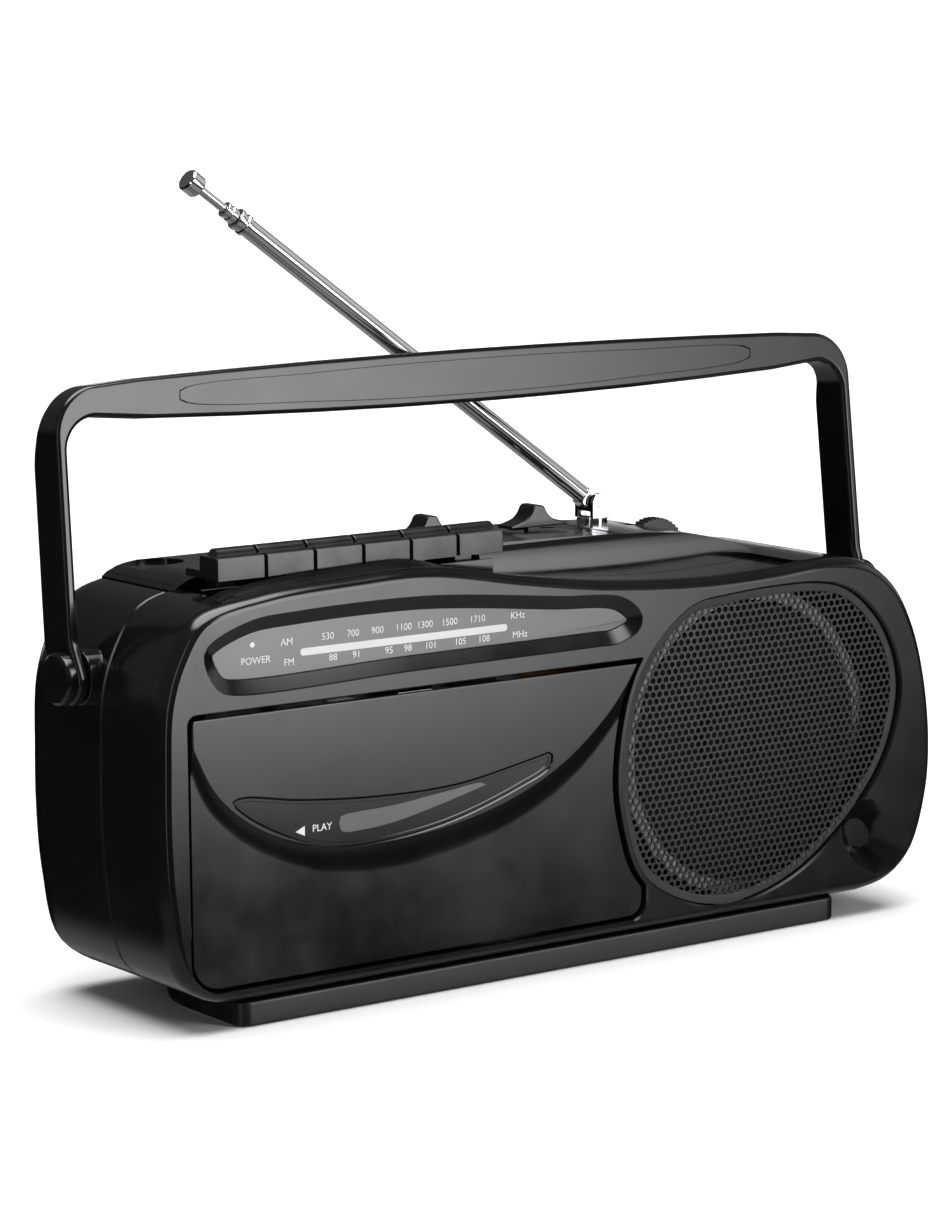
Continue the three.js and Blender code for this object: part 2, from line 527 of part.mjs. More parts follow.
function capstanFlywheel() {
  return turned([[0, HOLDER_FRONT + 2], [1, HOLDER_FRONT + 2], [1, FLYWHEEL_FRONT - 1], [4, FLYWHEEL_FRONT - 1],
    [4, FLYWHEEL_FRONT], [FLYWHEEL_RADIUS, FLYWHEEL_FRONT], [FLYWHEEL_RADIUS, FLYWHEEL_BACK], [3, FLYWHEEL_BACK],
    [1, FLYWHEEL_BACK + 2], [0, FLYWHEEL_BACK + 2]], ...CAPSTAN, 32);
}

function motorPulley() {
  const front = FLYWHEEL_FRONT - 0.4;
  const back = FLYWHEEL_BACK - 0.2;
  return turned([[0, front], [PULLEY_RADIUS + 0.7, front], [PULLEY_RADIUS + 0.7, front + 0.5],
    [PULLEY_RADIUS, front + 0.9], [PULLEY_RADIUS, back - 0.9], [PULLEY_RADIUS + 0.7, back - 0.5],
    [PULLEY_RADIUS + 0.7, back], [1, back], [1, back + 1.6], [0, back + 1.6]], ...MOTOR, 20);
}

function motorCan() {
  const front = FLYWHEEL_BACK + 2;
  return turned([[0, front], [3.4, front], [3.4, front + 1], [MOTOR_RADIUS - 1, front + 1],
    [MOTOR_RADIUS, front + 2], [MOTOR_RADIUS, front + 23], [MOTOR_RADIUS - 1, front + 24], [0, front + 24]],
  ...MOTOR, 24);
}

// Flat belt: the band between two pairs of tangent circles round the pulley and the flywheel.
function driveBelt() {
  const ring = (extra) => {
    const dx = CAPSTAN[0] - MOTOR[0];
    const dz = CAPSTAN[1] - MOTOR[1];
    const along = Math.atan2(dz, dx);
    const spread = Math.acos((FLYWHEEL_RADIUS - PULLEY_RADIUS) / Math.hypot(dx, dz));
    const arc = (centre, radius, from, to, steps) => Array.from({ length: steps + 1 }, (_, i) => {
      const angle = from + (to - from) * i / steps;
      return [centre[0] + radius * Math.cos(angle), centre[1] + radius * Math.sin(angle)];
    });
    const big = arc(CAPSTAN, FLYWHEEL_RADIUS + extra, along - Math.PI + spread, along + Math.PI - spread, 26);
    const small = arc(MOTOR, PULLEY_RADIUS + extra, along + Math.PI - spread, along + Math.PI + spread, 8);
    return [...big, ...small];
  };
  const front = FLYWHEEL_FRONT + 1;
  return cut(slab(ring(1.2), front, front + 2.6), slab(ring(GAP), front - 1, front + 4));
}

const HEAD_Z = CASSETTE_Z + CASSETTE_HEIGHT + 3;
const ROLLER = { x: CAPSTAN[0], z: CAPSTAN[1] + 13.2, radius: 6.4 };

function headPlate() {
  const plate = block([CASSETTE_X - 44, CASSETTE_X + 44], [HEAD_PLATE_BACK - 1.2, HEAD_PLATE_BACK], [HEAD_Z + 2, 106]);
  const slots = [-34, 36].map((dx) => block([CASSETTE_X + dx - 1.6, CASSETTE_X + dx + 1.6],
    [HEAD_PLATE_BACK - 3, HEAD_PLATE_BACK + 1], [HEAD_Z + 10, HEAD_Z + 18]));
  return cut(plate, ...slots);
}

function tapeHead(x, width, height) {
  const back = HEAD_PLATE_BACK - 1.2 - GAP;
  const face = roundedBox([x - width / 2, x + width / 2], [HEAD_Z, HEAD_Z + height], [2.5, 2.5, 0.6, 0.6], 3);
  return slab(face, back - 9, back);
}

function pinchArm() {
  const front = HEAD_PLATE_BACK - 1.2 - GAP - 1.2;
  const lever = slab([[ROLLER.x - 4, ROLLER.z - 3], [ROLLER.x + 16, ROLLER.z + 2], [ROLLER.x + 17, ROLLER.z + 8],
    [ROLLER.x - 4, ROLLER.z + 4]], front, front + 1.2);
  return join(lever, rodY(1.1, [front - 7.6, front + 0.6], ROLLER.x, ROLLER.z, 12));
}

function pinchRoller() {
  const back = HEAD_PLATE_BACK - 1.2 - GAP - 1.2 - GAP;
  return cut(rodY(ROLLER.radius, [back - 7, back], ROLLER.x, ROLLER.z, 20),
    rodY(1.1 + 0.25, [back - 8, back + 1], ROLLER.x, ROLLER.z, 12));
}

// ---- loudspeaker --------------------------------------------------------------------------
const SPEAKER_FRONT = FRONT + DISH.depth + DISH.wall + GAP;

function speakerFrame() {
  const r = SPEAKER_RADIUS;
  const y = SPEAKER_FRONT;
  return turned([[r - 4, y], [r, y], [r, y + 1.5], [r - 3, y + 1.8], [r - 20, y + 18], [r - 24, y + 19.5],
    [r - 24, y + 18], [r - 20.6, y + 16.6], [r - 5, y + 1.4], [r - 4, y]], SPEAKER_X, SPEAKER_Z, 28);
}

function speakerCone() {
  const r = SPEAKER_RADIUS - 5.4;
  const y = SPEAKER_FRONT;
  return turned([[0, y + 9], [7, y + 11.4], [9.4, y + 14.6], [r - 6, y + 2.2], [r - 3, y - 0.2], [r, y + 0.9],
    [r - 3, y + 0.8], [r - 6, y + 3.4], [9.4, y + 16], [0, y + 16]], SPEAKER_X, SPEAKER_Z, 28);
}

// ---- handle -------------------------------------------------------------------------------
const LEG_IN = SIDE + LEG_SIDE_GAP;
const LEG_OUT = LEG_IN + LEG_THICKNESS;
const HANDLE_DEPTH = { front: -3.5, bar: 7, leg: 11.6 };

function handleOutline() {
  const top = HANDLE_REACH;
  const arc = (cx, cz, radius, from, to) => Array.from({ length: 7 }, (_, i) => {
    const angle = THREE.MathUtils.degToRad(from + (to - from) * i / 6);
    return [cx + radius * Math.cos(angle), cz + radius * Math.sin(angle)];
  });
  const right = [
    [LEG_OUT, -PIVOT_BOSS_RADIUS], [LEG_OUT, 0], ...arc(LEG_OUT - 1.2 - 15, top - 2.8 - 15, 15, 2, 88),
    [LEG_OUT / 2, top - 0.7],
  ];
  const rightInner = [
    [LEG_IN / 2, top - 16], ...arc(LEG_IN - 1 - 10, top - 12.2 - 10, 10, 88, 2), [LEG_IN, 0],
    [LEG_IN, -PIVOT_BOSS_RADIUS],
  ];
  const mirror = (points) => points.map(([x, z]) => [-x, z]).reverse();
  return [...right, [0, top], ...mirror(right), ...mirror(rightInner), [0, top - 16.8], ...rightInner];
}

function handleSide() {
  const top = HANDLE_REACH + 1;
  const { front, bar: barBack, leg } = HANDLE_DEPTH;
  const foot = Array.from({ length: 9 }, (_, i) => {
    const angle = Math.PI + i * Math.PI / 8 * 1.05;
    return [(PIVOT_BOSS_RADIUS - 0.3) * Math.cos(angle), (PIVOT_BOSS_RADIUS - 0.3) * Math.sin(angle)];
  });
  return [...foot, [leg, 16], [leg, top - 26], [barBack, top - 13], [barBack, top], [front, top], [front, 14]];
}

function leaning(geometry) {
  return geometry.rotateX(-THREE.MathUtils.degToRad(HANDLE_LEAN)).translate(0, HANDLE_PIVOT_Y, HANDLE_PIVOT_Z);
}

const gripOutline = smooth([
  [-111, HANDLE_REACH - 9.2], [-60, HANDLE_REACH - 13.6], [0, HANDLE_REACH - 14.8], [60, HANDLE_REACH - 13.6],
  [111, HANDLE_REACH - 9.2], [111, HANDLE_REACH - 6.4], [60, HANDLE_REACH - 3.8], [0, HANDLE_REACH - 3],
  [-60, HANDLE_REACH - 3.8], [-111, HANDLE_REACH - 6.4],
], 40);

function handle() {
  const bow = common(slab(handleOutline(), HANDLE_DEPTH.front, HANDLE_DEPTH.leg),
    bar(handleSide(), -LEG_OUT - 1, LEG_OUT + 1));
  const gripSeat = slab(gripOutline, HANDLE_DEPTH.front - 1, HANDLE_DEPTH.front + 1.2);
  return leaning(cut(bow, gripSeat, rodX(PIN_RADIUS + GAP, everywhere, 0, 0)));
}

function handleCap(side) {
  const spread = (a, b) => [side * a, side * b].sort((p, q) => p - q);
  const head = rodX(PIVOT_BOSS_RADIUS - 0.5, spread(LEG_OUT + GAP, LEG_OUT + 3.3), 0, 0);
  const pin = rodX(PIN_RADIUS, spread(SIDE - 10, LEG_OUT + 1), 0, 0);
  return leaning(join(head, pin));
}

// ---- antenna ------------------------------------------------------------------------------
function antennaBase() {
  const post = rodZ(5, [CREST_RIGHT + 1.5, ANTENNA_Z - 3.9], ANTENNA_X, ANTENNA_Y, 20);
  const cheek = roundedBox([ANTENNA_X - 3.4, ANTENNA_X + 3.4], [ANTENNA_Z - 4.5, ANTENNA_Z + 3.4],
    [0.2, 0.2, 3, 3], 4);
  const near = slab(cheek, ANTENNA_Y - 4.9, ANTENNA_Y - ANTENNA_RADIUS - GAP);
  const far = slab(cheek, ANTENNA_Y + ANTENNA_RADIUS + GAP, ANTENNA_Y + 4.9);
  const pin = rodY(1.4, [ANTENNA_Y - 4.5, ANTENNA_Y + 4.5], ANTENNA_X, ANTENNA_Z, 12);
  return join(post, near, far, pin);
}

// Sections are drawn upright from the fold pin and then tilted.
function tilted(geometry) {
  return geometry.rotateY(-THREE.MathUtils.degToRad(ANTENNA_TILT)).translate(ANTENNA_X, ANTENNA_Y, ANTENNA_Z);
}

const bore = (level) => ANTENNA_RADIUS - 0.5 - level * TUBE_STEP;

function antennaOuter() {
  const eye = rodY(3.2, [-ANTENNA_RADIUS, ANTENNA_RADIUS], 0, 0, 16);
  const tube = rodZ(ANTENNA_RADIUS, [1, ANTENNA_LENGTH], 0, 0, 20);
  const collar = rodZ(ANTENNA_RADIUS + 0.5, [ANTENNA_LENGTH - 5, ANTENNA_LENGTH], 0, 0, 20);
  return tilted(cut(join(eye, tube, collar), rodZ(bore(0), [8, ANTENNA_LENGTH + 1], 0, 0, 20),
    rodY(1.4 + GAP, [-5, 5], 0, 0, 12)));
}

function antennaMiddle() {
  const radius = bore(0) - GAP;
  const tube = rodZ(radius, [12, ANTENNA_LENGTH + 5], 0, 0, 16);
  const collar = rodZ(radius + 0.4, [ANTENNA_LENGTH + 0.4, ANTENNA_LENGTH + 5], 0, 0, 16);
  return tilted(cut(join(tube, collar), rodZ(bore(1), [14, ANTENNA_LENGTH + 6], 0, 0, 16)));
}

function antennaTip() {
  const rod = rodZ(bore(1) - GAP, [26, ANTENNA_LENGTH + 17], 0, 0, 12);
  const cap = rodZ(3.6, [ANTENNA_LENGTH + 16, ANTENNA_LENGTH + 21.3], 0, 0, 20);
  return tilted(join(rod, cap));
}

// ---- electrics ----------------------------------------------------------------------------
const BOX_FRONT = BACK - 2.3 - GAP - BATTERY_DEPTH - 1.5;

function batteryBox() {
  const x = [-BATTERY_WIDTH / 2 - 1.5, BATTERY_WIDTH / 2 + 1.5];
  const z = [BATTERY_LOW - 1.5, BATTERY_LOW + BATTERY_HEIGHT + 1.5];
  const tray = block(x, [BOX_FRONT, BOX_FRONT + BATTERY_DEPTH - 1], z);
  const bay = block([-BATTERY_WIDTH / 2, BATTERY_WIDTH / 2], [BOX_FRONT + 1.5, BACK], [BATTERY_LOW, BATTERY_LOW + BATTERY_HEIGHT]);
  return cut(tray, bay);
}

// One bent strip: a contact plate with two nubs at each end, linked along the floor of the bay.
function batteryContacts() {
  const reach = BATTERY_WIDTH / 2 - GAP;
  const low = BATTERY_LOW + GAP;
  const ends = sides((side) => {
    const span = (depth) => [side * reach, side * (reach - depth)].sort((a, b) => a - b);
    const plate = block(span(0.8), [BOX_FRONT + 5, BOX_FRONT + 20], [low, BATTERY_LOW + BATTERY_HEIGHT - 3]);
    const nubs = [0.27, 0.73].map((share) => (
      rodX(4, span(4), BOX_FRONT + 12.5, BATTERY_LOW + BATTERY_HEIGHT * share, 12)));
    return join(plate, ...nubs);
  });
  return join(block([-reach, reach], [BOX_FRONT + 10, BOX_FRONT + 15], [low, low + 0.6]), ...ends);
}

function mainBoard() {
  const front = SEAM + 11;
  const board = block([-4, 122], [front, front + 1.6], [78, 112]);
  const parts = [[2, 9, 12, 84, 96], [16, 8, 10, 88, 104], [32, 10, 14, 84, 94], [52, 6, 9, 92, 108]]
    .map(([x, width, depth, low, high]) => block([x, x + width], [front + 1, front + 1 + depth], [low, high]));
  const tuningCapacitor = block([98, 118], [front + 1, front + 16], [82, 102]);
  return join(board, ...parts, tuningCapacitor);
}

function switchBoard() {
  const board = block([-30, 40], [KNOB_Y - 8, KNOB_Y + 12], [CREST_RIGHT - 1, CREST_RIGHT + 0.6]);
  const bodies = switchKnobs.map(({ x }) => block([x - 12, x + 12], [KNOB_Y - 4, KNOB_Y + 4],
    [CREST_RIGHT, DECK_TOP - 4]));
  return join(board, ...bodies);
}

function ferriteAntenna() {
  const y = BACK - 18;
  const rod = rodX(4, [-108, -8], y, 106, 16);
  const coils = [[-96, -74], [-40, -26]].map((x) => rodX(6, x, y, 106, 16));
  return join(rod, ...coils);
}

function transformer() {
  const core = block([-135, -97], [6, 22], [17, 51]);
  return join(core, block([-128, -104], [2, 25.5], [22, 46]));
}

function mainsInlet() {
  const shell = slab(roundedBox([-128.4, -106.6], [23.6, 37.4], [2.6, 2.6, 2.6, 2.6]), BACK - 12, BACK - 0.5);
  const socket = slab(roundedBox([-124, -111], [26.6, 34.4], [3.8, 3.8, 3.8, 3.8]), BACK - 9, BACK + 1);
  const pins = [-120.5, -114.5].map((x) => rodY(1.2, [BACK - 10, BACK - 3], x, 30.5, 8));
  return join(cut(shell, socket), ...pins);
}

function headphoneJack() {
  return cut(rodX(4, [SIDE - 18, SIDE - 4.6], 24, 88, 20), rodX(1.8, [SIDE - 14, SIDE], 24, 88, 12));
}

function caseScrew([x, z]) {
  return cut(
    turned([[0, BACK - 1.7], [3.3, BACK - 1.7], [3.3, BACK - 0.9], [2, BACK - 0.2], [0, BACK - 0.2]], x, z, 16),
    block([x - 2.2, x + 2.2], [BACK - 1.1, BACK + 1], [z - 0.4, z + 0.4]),
    block([x - 0.4, x + 0.4], [BACK - 1.1, BACK + 1], [z - 2.2, z + 2.2]));
}

// ---- assembly -----------------------------------------------------------------------------
add('front_shell', 'gloss', frontShell());
add('rear_shell', 'gloss', rearShell());
add('top_deck', 'gloss', topDeck());
add('base_plinth', 'satin', basePlinth());
add('battery_door', 'gloss', batteryDoor());
screwPlaces.forEach((place, index) => add(`case_screw_${index + 1}`, 'steel', caseScrew(place)));
add('speaker_grille', 'grille', slab(inset(speakerOutline, GAP + 0.1), FRONT + 1.8, FRONT + 2.8));
add('dial_lens', 'lens', slab(inset(dialOutline, DIAL_BEVEL), LENS_FRONT, LENS_FRONT + 1.6));
add('dial_plate', 'card', dialPlate());
add('dial_pointer', 'red', block([POINTER_X - 0.6, POINTER_X + 0.6], [LENS_FRONT + 1.9, LENS_FRONT + 2.7], [105.8, 113.8]));
add('power_led', 'red', rodY(1.5, [LENS_FRONT + 2, LENS_FRONT + 7], LED[0], LED[1], 12));
add('cassette_door', 'gloss', cassetteDoor());
add('door_window', 'lens', slab(inset(windowOutline, GAP), DOOR_FRONT + 0.1, DOOR_FRONT + 1));
add('cassette_holder', 'satin', cassetteHolder());
['record', 'play', 'rewind', 'fast_forward', 'stop_eject', 'pause'].forEach((name, index) => {
  add(`key_${name}`, 'satin', pianoKey(index));
});
add('key_shaft', 'steel', rodX(KEY_SHAFT_RADIUS, [KEYS_LEFT - 1.7, KEYS_RIGHT + 1.8], KEY_SHAFT_Y, KEY_SHAFT_Z, 16));
switchKnobs.forEach(({ name, x }) => add(name, 'gloss', switchKnob(x)));
add('volume_wheel', 'satin', knurledWheel(VOLUME, 40));
add('tuning_wheel', 'satin', knurledWheel(TUNING, 44));
add('switch_board', 'board', switchBoard());
add('antenna_base', 'chrome', antennaBase());
add('antenna_outer_tube', 'chrome', antennaOuter());
add('antenna_middle_tube', 'chrome', antennaMiddle());
add('antenna_tip_rod', 'chrome', antennaTip());
add('handle', 'gloss', handle());
add('handle_grip', 'satin', leaning(slab(inset(gripOutline, GAP), HANDLE_DEPTH.front, HANDLE_DEPTH.front + 0.9)));
add('handle_cap_left', 'gloss', handleCap(-1));
add('handle_cap_right', 'gloss', handleCap(1));
add('speaker_frame', 'steel', speakerFrame());
add('speaker_cone', 'paper', speakerCone());
add('speaker_magnet', 'steel', rodY(25, [SPEAKER_FRONT + 19.8, SPEAKER_FRONT + 31], SPEAKER_X, SPEAKER_Z, 28));
add('deck_chassis', 'steel', deckChassis());
add('supply_spindle', 'satin', tapeSpindle(-1));
add('takeup_spindle', 'satin', tapeSpindle(1));
add('capstan_flywheel', 'steel', capstanFlywheel());
add('motor', 'steel', motorCan());
add('motor_pulley', 'brass', motorPulley());
add('drive_belt', 'rubber', driveBelt());
add('head_plate', 'steel', headPlate());
add('record_play_head', 'chrome', tapeHead(CASSETTE_X, 12.5, 11));
add('erase_head', 'white', tapeHead(CASSETTE_X - 22, 8, 8));
add('pinch_arm', 'steel', pinchArm());
add('pinch_roller', 'rubber', pinchRoller());
add('battery_box', 'satin', batteryBox());
add('battery_contacts', 'steel', batteryContacts());
add('main_board', 'board', mainBoard());
add('ferrite_antenna', 'rubber', ferriteAntenna());
add('transformer', 'steel', transformer());
add('mains_inlet', 'satin', mainsInlet());
add('headphone_jack', 'satin', headphoneJack());
add('microphone', 'steel', rodY(4.8, [FRONT + 10.6, FRONT + 16], DISH.x, DISH.z, 16));

export default recorder;
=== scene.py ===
import json
import math

import bmesh
import bpy
from mathutils import Matrix, Vector


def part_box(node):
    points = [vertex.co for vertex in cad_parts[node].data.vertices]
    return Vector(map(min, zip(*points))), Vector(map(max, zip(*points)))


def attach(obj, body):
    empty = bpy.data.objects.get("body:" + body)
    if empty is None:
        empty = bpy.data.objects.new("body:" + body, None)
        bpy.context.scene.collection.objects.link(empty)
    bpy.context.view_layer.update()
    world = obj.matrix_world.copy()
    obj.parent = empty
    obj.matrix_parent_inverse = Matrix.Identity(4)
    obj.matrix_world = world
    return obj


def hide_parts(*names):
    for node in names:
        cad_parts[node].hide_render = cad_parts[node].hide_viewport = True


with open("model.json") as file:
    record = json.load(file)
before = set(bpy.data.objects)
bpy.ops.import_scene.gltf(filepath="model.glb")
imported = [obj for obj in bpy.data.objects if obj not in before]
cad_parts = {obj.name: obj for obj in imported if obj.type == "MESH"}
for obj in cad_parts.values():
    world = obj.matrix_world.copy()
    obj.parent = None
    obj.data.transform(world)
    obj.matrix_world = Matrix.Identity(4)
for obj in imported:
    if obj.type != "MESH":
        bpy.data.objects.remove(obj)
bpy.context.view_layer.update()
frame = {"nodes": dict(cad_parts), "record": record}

# ---- case shells --------------------------------------------------------------------------
# Front and rear shell: injection-moulded black ABS, polished in the mould, 2.5 mm walls.
# They meet at a seam that runs right round the case and are held by four screws from behind.
# Outlines are in millimetres as (x, z) seen from the front, like the drawings of the case.
MM = 0.001
WALL = 2.5
FRONT_EDGE = (3.5, 6)  # how far the rounded front edge pulls in, and how deep it runs
REAR_EDGE = (7, 12)
LIP = 0.45


def mm(node):
    """The two corners of a CAD node's box, in millimetres."""
    low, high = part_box(node)
    return [c / MM for c in low], [c / MM for c in high]


front_low, front_high = mm("front_shell")
rear_low, rear_high = mm("rear_shell")
FRONT, SEAM, BACK = front_low[1], front_high[1], rear_high[1]
SIDE = front_high[0]
BASE_TOP = front_low[2]
CREST_LEFT = 130.9
CREST_RIGHT = 118.3


def smooth_line(points, count, closed=True):
    """An even line of count points on a centripetal Catmull-Rom curve through a few points."""
    spans = len(points) if closed else len(points) - 1
    fine = []
    for i in range(spans):
        if closed:
            a, b, c, d = (Vector(points[(i + k) % len(points)]) for k in (-1, 0, 1, 2))
        else:
            b, c = Vector(points[i]), Vector(points[i + 1])
            a = Vector(points[i - 1]) if i else b * 2 - c
            d = Vector(points[i + 2]) if i + 2 < len(points) else c * 2 - b
        t = [0.0]
        for p, q in ((a, b), (b, c), (c, d)):
            t.append(t[-1] + max((q - p).length, 1e-6) ** 0.5)
        for k in range(24):
            u = t[1] + (t[2] - t[1]) * k / 24
            ab = a.lerp(b, (u - t[0]) / (t[1] - t[0]))
            bc = b.lerp(c, (u - t[1]) / (t[2] - t[1]))
            cd = c.lerp(d, (u - t[2]) / (t[3] - t[2]))
            abc = ab.lerp(bc, (u - t[0]) / (t[2] - t[0]))
            bcd = bc.lerp(cd, (u - t[1]) / (t[3] - t[1]))
            fine.append(abc.lerp(bcd, (u - t[1]) / (t[2] - t[1])))
    fine.append(Vector(points[0 if closed else -1]))
    lengths = [0.0]
    for p, q in zip(fine, fine[1:]):
        lengths.append(lengths[-1] + (q - p).length)
    steps = count if closed else count - 1
    line, k = [], 0
    for i in range(count):
        want = lengths[-1] * i / steps
        while k + 2 < len(lengths) and lengths[k + 1] < want:
            k += 1
        share = (want - lengths[k]) / max(lengths[k + 1] - lengths[k], 1e-9)
        line.append(tuple(fine[k].lerp(fine[k + 1], min(share, 1.0))))
    return line


def inset(line, distance):
    """Moves a counter-clockwise closed line inwards; a negative distance moves it out."""
    moved = []
    for i, (x, z) in enumerate(line):
        ax, az = line[i - 1]
        bx, bz = line[(i + 1) % len(line)]
        length = math.hypot(bx - ax, bz - az)
        moved.append((x - (bz - az) / length * distance, z + (bx - ax) / length * distance))
    return moved


def rounded_box(x, z, radii, steps=8):
    """A rounded rectangle; radii run counter-clockwise from the lower left corner."""
    centres = ((x[0] + radii[0], z[0] + radii[0]), (x[1] - radii[1], z[0] + radii[1]),
               (x[1] - radii[2], z[1] - radii[2]), (x[0] + radii[3], z[1] - radii[3]))
    line = []
    for i, (cx, cz) in enumerate(centres):
        for k in range(steps + 1):
            angle = math.pi + (i + k / steps) * math.pi / 2
            line.append((cx + radii[i] * math.cos(angle), cz + radii[i] * math.sin(angle)))
    return line


FACING_FRONT = lambda u, depth, v: (u, depth, v)
FACING_SIDE = lambda u, depth, v: (depth, u, v)
FACING_UP = lambda u, depth, v: (u, v, depth)


def loft(rings, facing=FACING_FRONT):
    """A closed body drawn through lines of equal count, each at its own depth."""
    placed = [[[c * MM for c in facing(u, depth, v)] for u, v in line] for depth, line in rings]
    bm = bmesh.new()
    verts = [bm.verts.new(point) for point in placed[0]]
    edges = [bm.edges.new((verts[i - 1], verts[i])) for i in range(len(verts))]
    bmesh.ops.contextual_create(bm, geom=edges)
    for points in placed[1:]:
        grown = bmesh.ops.extrude_edge_only(bm, edges=edges)["geom"]
        fresh = {g for g in grown if isinstance(g, bmesh.types.BMVert)}
        edges = [g for g in grown if isinstance(g, bmesh.types.BMEdge) and fresh.issuperset(g.verts)]
        verts = [next(e.other_vert(v) for e in v.link_edges if e.other_vert(v) in fresh) for v in verts]
        for vert, point in zip(verts, points):
            vert.co = point
    bmesh.ops.contextual_create(bm, geom=edges)
    bmesh.ops.recalc_face_normals(bm, faces=bm.faces)
    return bm


def slab(line, front, back, edge=0.0, steps=1, facing=FACING_FRONT):
    """A plate with this outline, its front and back edges rounded by edge."""
    if not edge:
        return loft([(front, line), (back, line)], facing)
    turns = [math.pi / 2 * k / steps for k in range(steps + 1)]
    near = [(front + edge * (1 - math.cos(a)), inset(line, edge * (1 - math.sin(a)))) for a in turns]
    far = [(front + back - y, ring) for y, ring in reversed(near)]
    return loft(near + far, facing)


def make(name, bm, material, sharp=32):
    """Turns a bmesh into a piece that is smooth except where it folds by more than sharp degrees."""
    limit = math.radians(sharp)
    for face in bm.faces:
        face.smooth = True
    for edge in bm.edges:
        edge.smooth = edge.calc_face_angle(0.0) < limit
    mesh = bpy.data.meshes.new(name)
    bm.to_mesh(mesh)
    bm.free()
    piece = bpy.data.objects.new(name, mesh)
    bpy.context.scene.collection.objects.link(piece)
    if material:
        mesh.materials.append(material)
        even = piece.modifiers.new("even_faces", "WEIGHTED_NORMAL")
        even.weight = 80
        even.keep_sharp = True
    return piece


def carve(bm, cutters, operation="DIFFERENCE"):
    """Cuts each bmesh cutter out of bm, or keeps what they share, and gives a new bmesh."""
    body = make("blank", bm, None)
    tools = [make("tool", cutter, None) for cutter in cutters]
    for tool in tools:
        boolean = body.modifiers.new("cut", "BOOLEAN")
        boolean.operation = operation
        boolean.solver = "EXACT"
        boolean.object = tool
    cut_mesh = bpy.data.meshes.new_from_object(
        body.evaluated_get(bpy.context.evaluated_depsgraph_get()))
    result = bmesh.new()
    result.from_mesh(cut_mesh)
    for used in [body] + tools:
        bpy.data.objects.remove(used)
    bmesh.ops.remove_doubles(result, verts=result.verts, dist=2e-6)
    bmesh.ops.dissolve_degenerate(result, edges=result.edges, dist=1e-6)
    return result


def soften(bm, width, angle, segments):
    """Rounds the edges that fold by more than angle degrees."""
    limit = math.radians(angle)
    edges = [e for e in bm.edges if len(e.link_faces) == 2 and e.calc_face_angle(0.0) > limit]
    bmesh.ops.bevel(bm, geom=edges, offset=width * MM, segments=segments, affect="EDGES",
                    profile=0.5, material=-1, clamp_overlap=False)
    return bm


def add_node(tree, kind, inputs=None, **settings):
    """One shader node with its settings, and with its inputs set or linked."""
    new = tree.nodes.new(kind)
    for key, value in settings.items():
        setattr(new, key, value)
    for socket, value in (inputs or {}).items():
        if isinstance(value, bpy.types.NodeSocket):
            tree.links.new(value, new.inputs[socket])
        else:
            new.inputs[socket].default_value = value
    return new


def srgb(code):
    """A hex colour as linear RGBA."""
    parts = [int(code[i:i + 2], 16) / 255 for i in (1, 3, 5)]
    return [c / 12.92 if c < 0.04045 else ((c + 0.055) / 1.055) ** 2.4 for c in parts] + [1.0]


def finish(name, dark, light, grain_mm, rough, bump_mm=0.0, distance=0.0, **sockets):
    """A solid finish: two close tones and a roughness range, both mottled at grain_mm."""
    material = bpy.data.materials.new(name)
    material.use_nodes = True
    tree = material.node_tree
    shader = tree.nodes["Principled BSDF"]
    place = add_node(tree, "ShaderNodeTexCoord").outputs["Object"]
    mottle = add_node(tree, "ShaderNodeTexNoise", {"Vector": place, "Scale": 1000 / grain_mm, "Detail": 5.0,
                                                  "Roughness": 0.6}).outputs["Fac"]
    tone = add_node(tree, "ShaderNodeMix", {"Factor": mottle}, data_type="RGBA")
    tone_sockets = [s for s in tone.inputs if s.type == "RGBA"]
    for socket, code in zip(tone_sockets, (dark, light)):
        socket.default_value = srgb(code)
    tree.links.new([s for s in tone.outputs if s.type == "RGBA"][0], shader.inputs["Base Color"])
    spread = add_node(tree, "ShaderNodeMapRange", {"Value": mottle, "From Min": 0.3, "From Max": 0.7,
                                                  "To Min": rough[0], "To Max": rough[1]})
    tree.links.new(spread.outputs["Result"], shader.inputs["Roughness"])
    if bump_mm:
        skin = add_node(tree, "ShaderNodeTexNoise", {"Vector": place, "Scale": 1000 / bump_mm, "Detail": 3.0})
        bump = add_node(tree, "ShaderNodeBump", {"Height": skin.outputs["Fac"], "Strength": 0.5,
                                                 "Distance": distance * MM})
        tree.links.new(bump.outputs["Normal"], shader.inputs["Normal"])
    for socket, value in sockets.items():
        shader.inputs[socket.replace("_", " ")].default_value = value
    return material


# Mould-polished ABS: a deep black gloss that is never quite flat, with a faint haze of handling.
gloss_abs = finish("gloss_abs", "#0b0b0d", "#111113", 26, (0.09, 0.17), 9.0, 0.012, IOR=1.53)

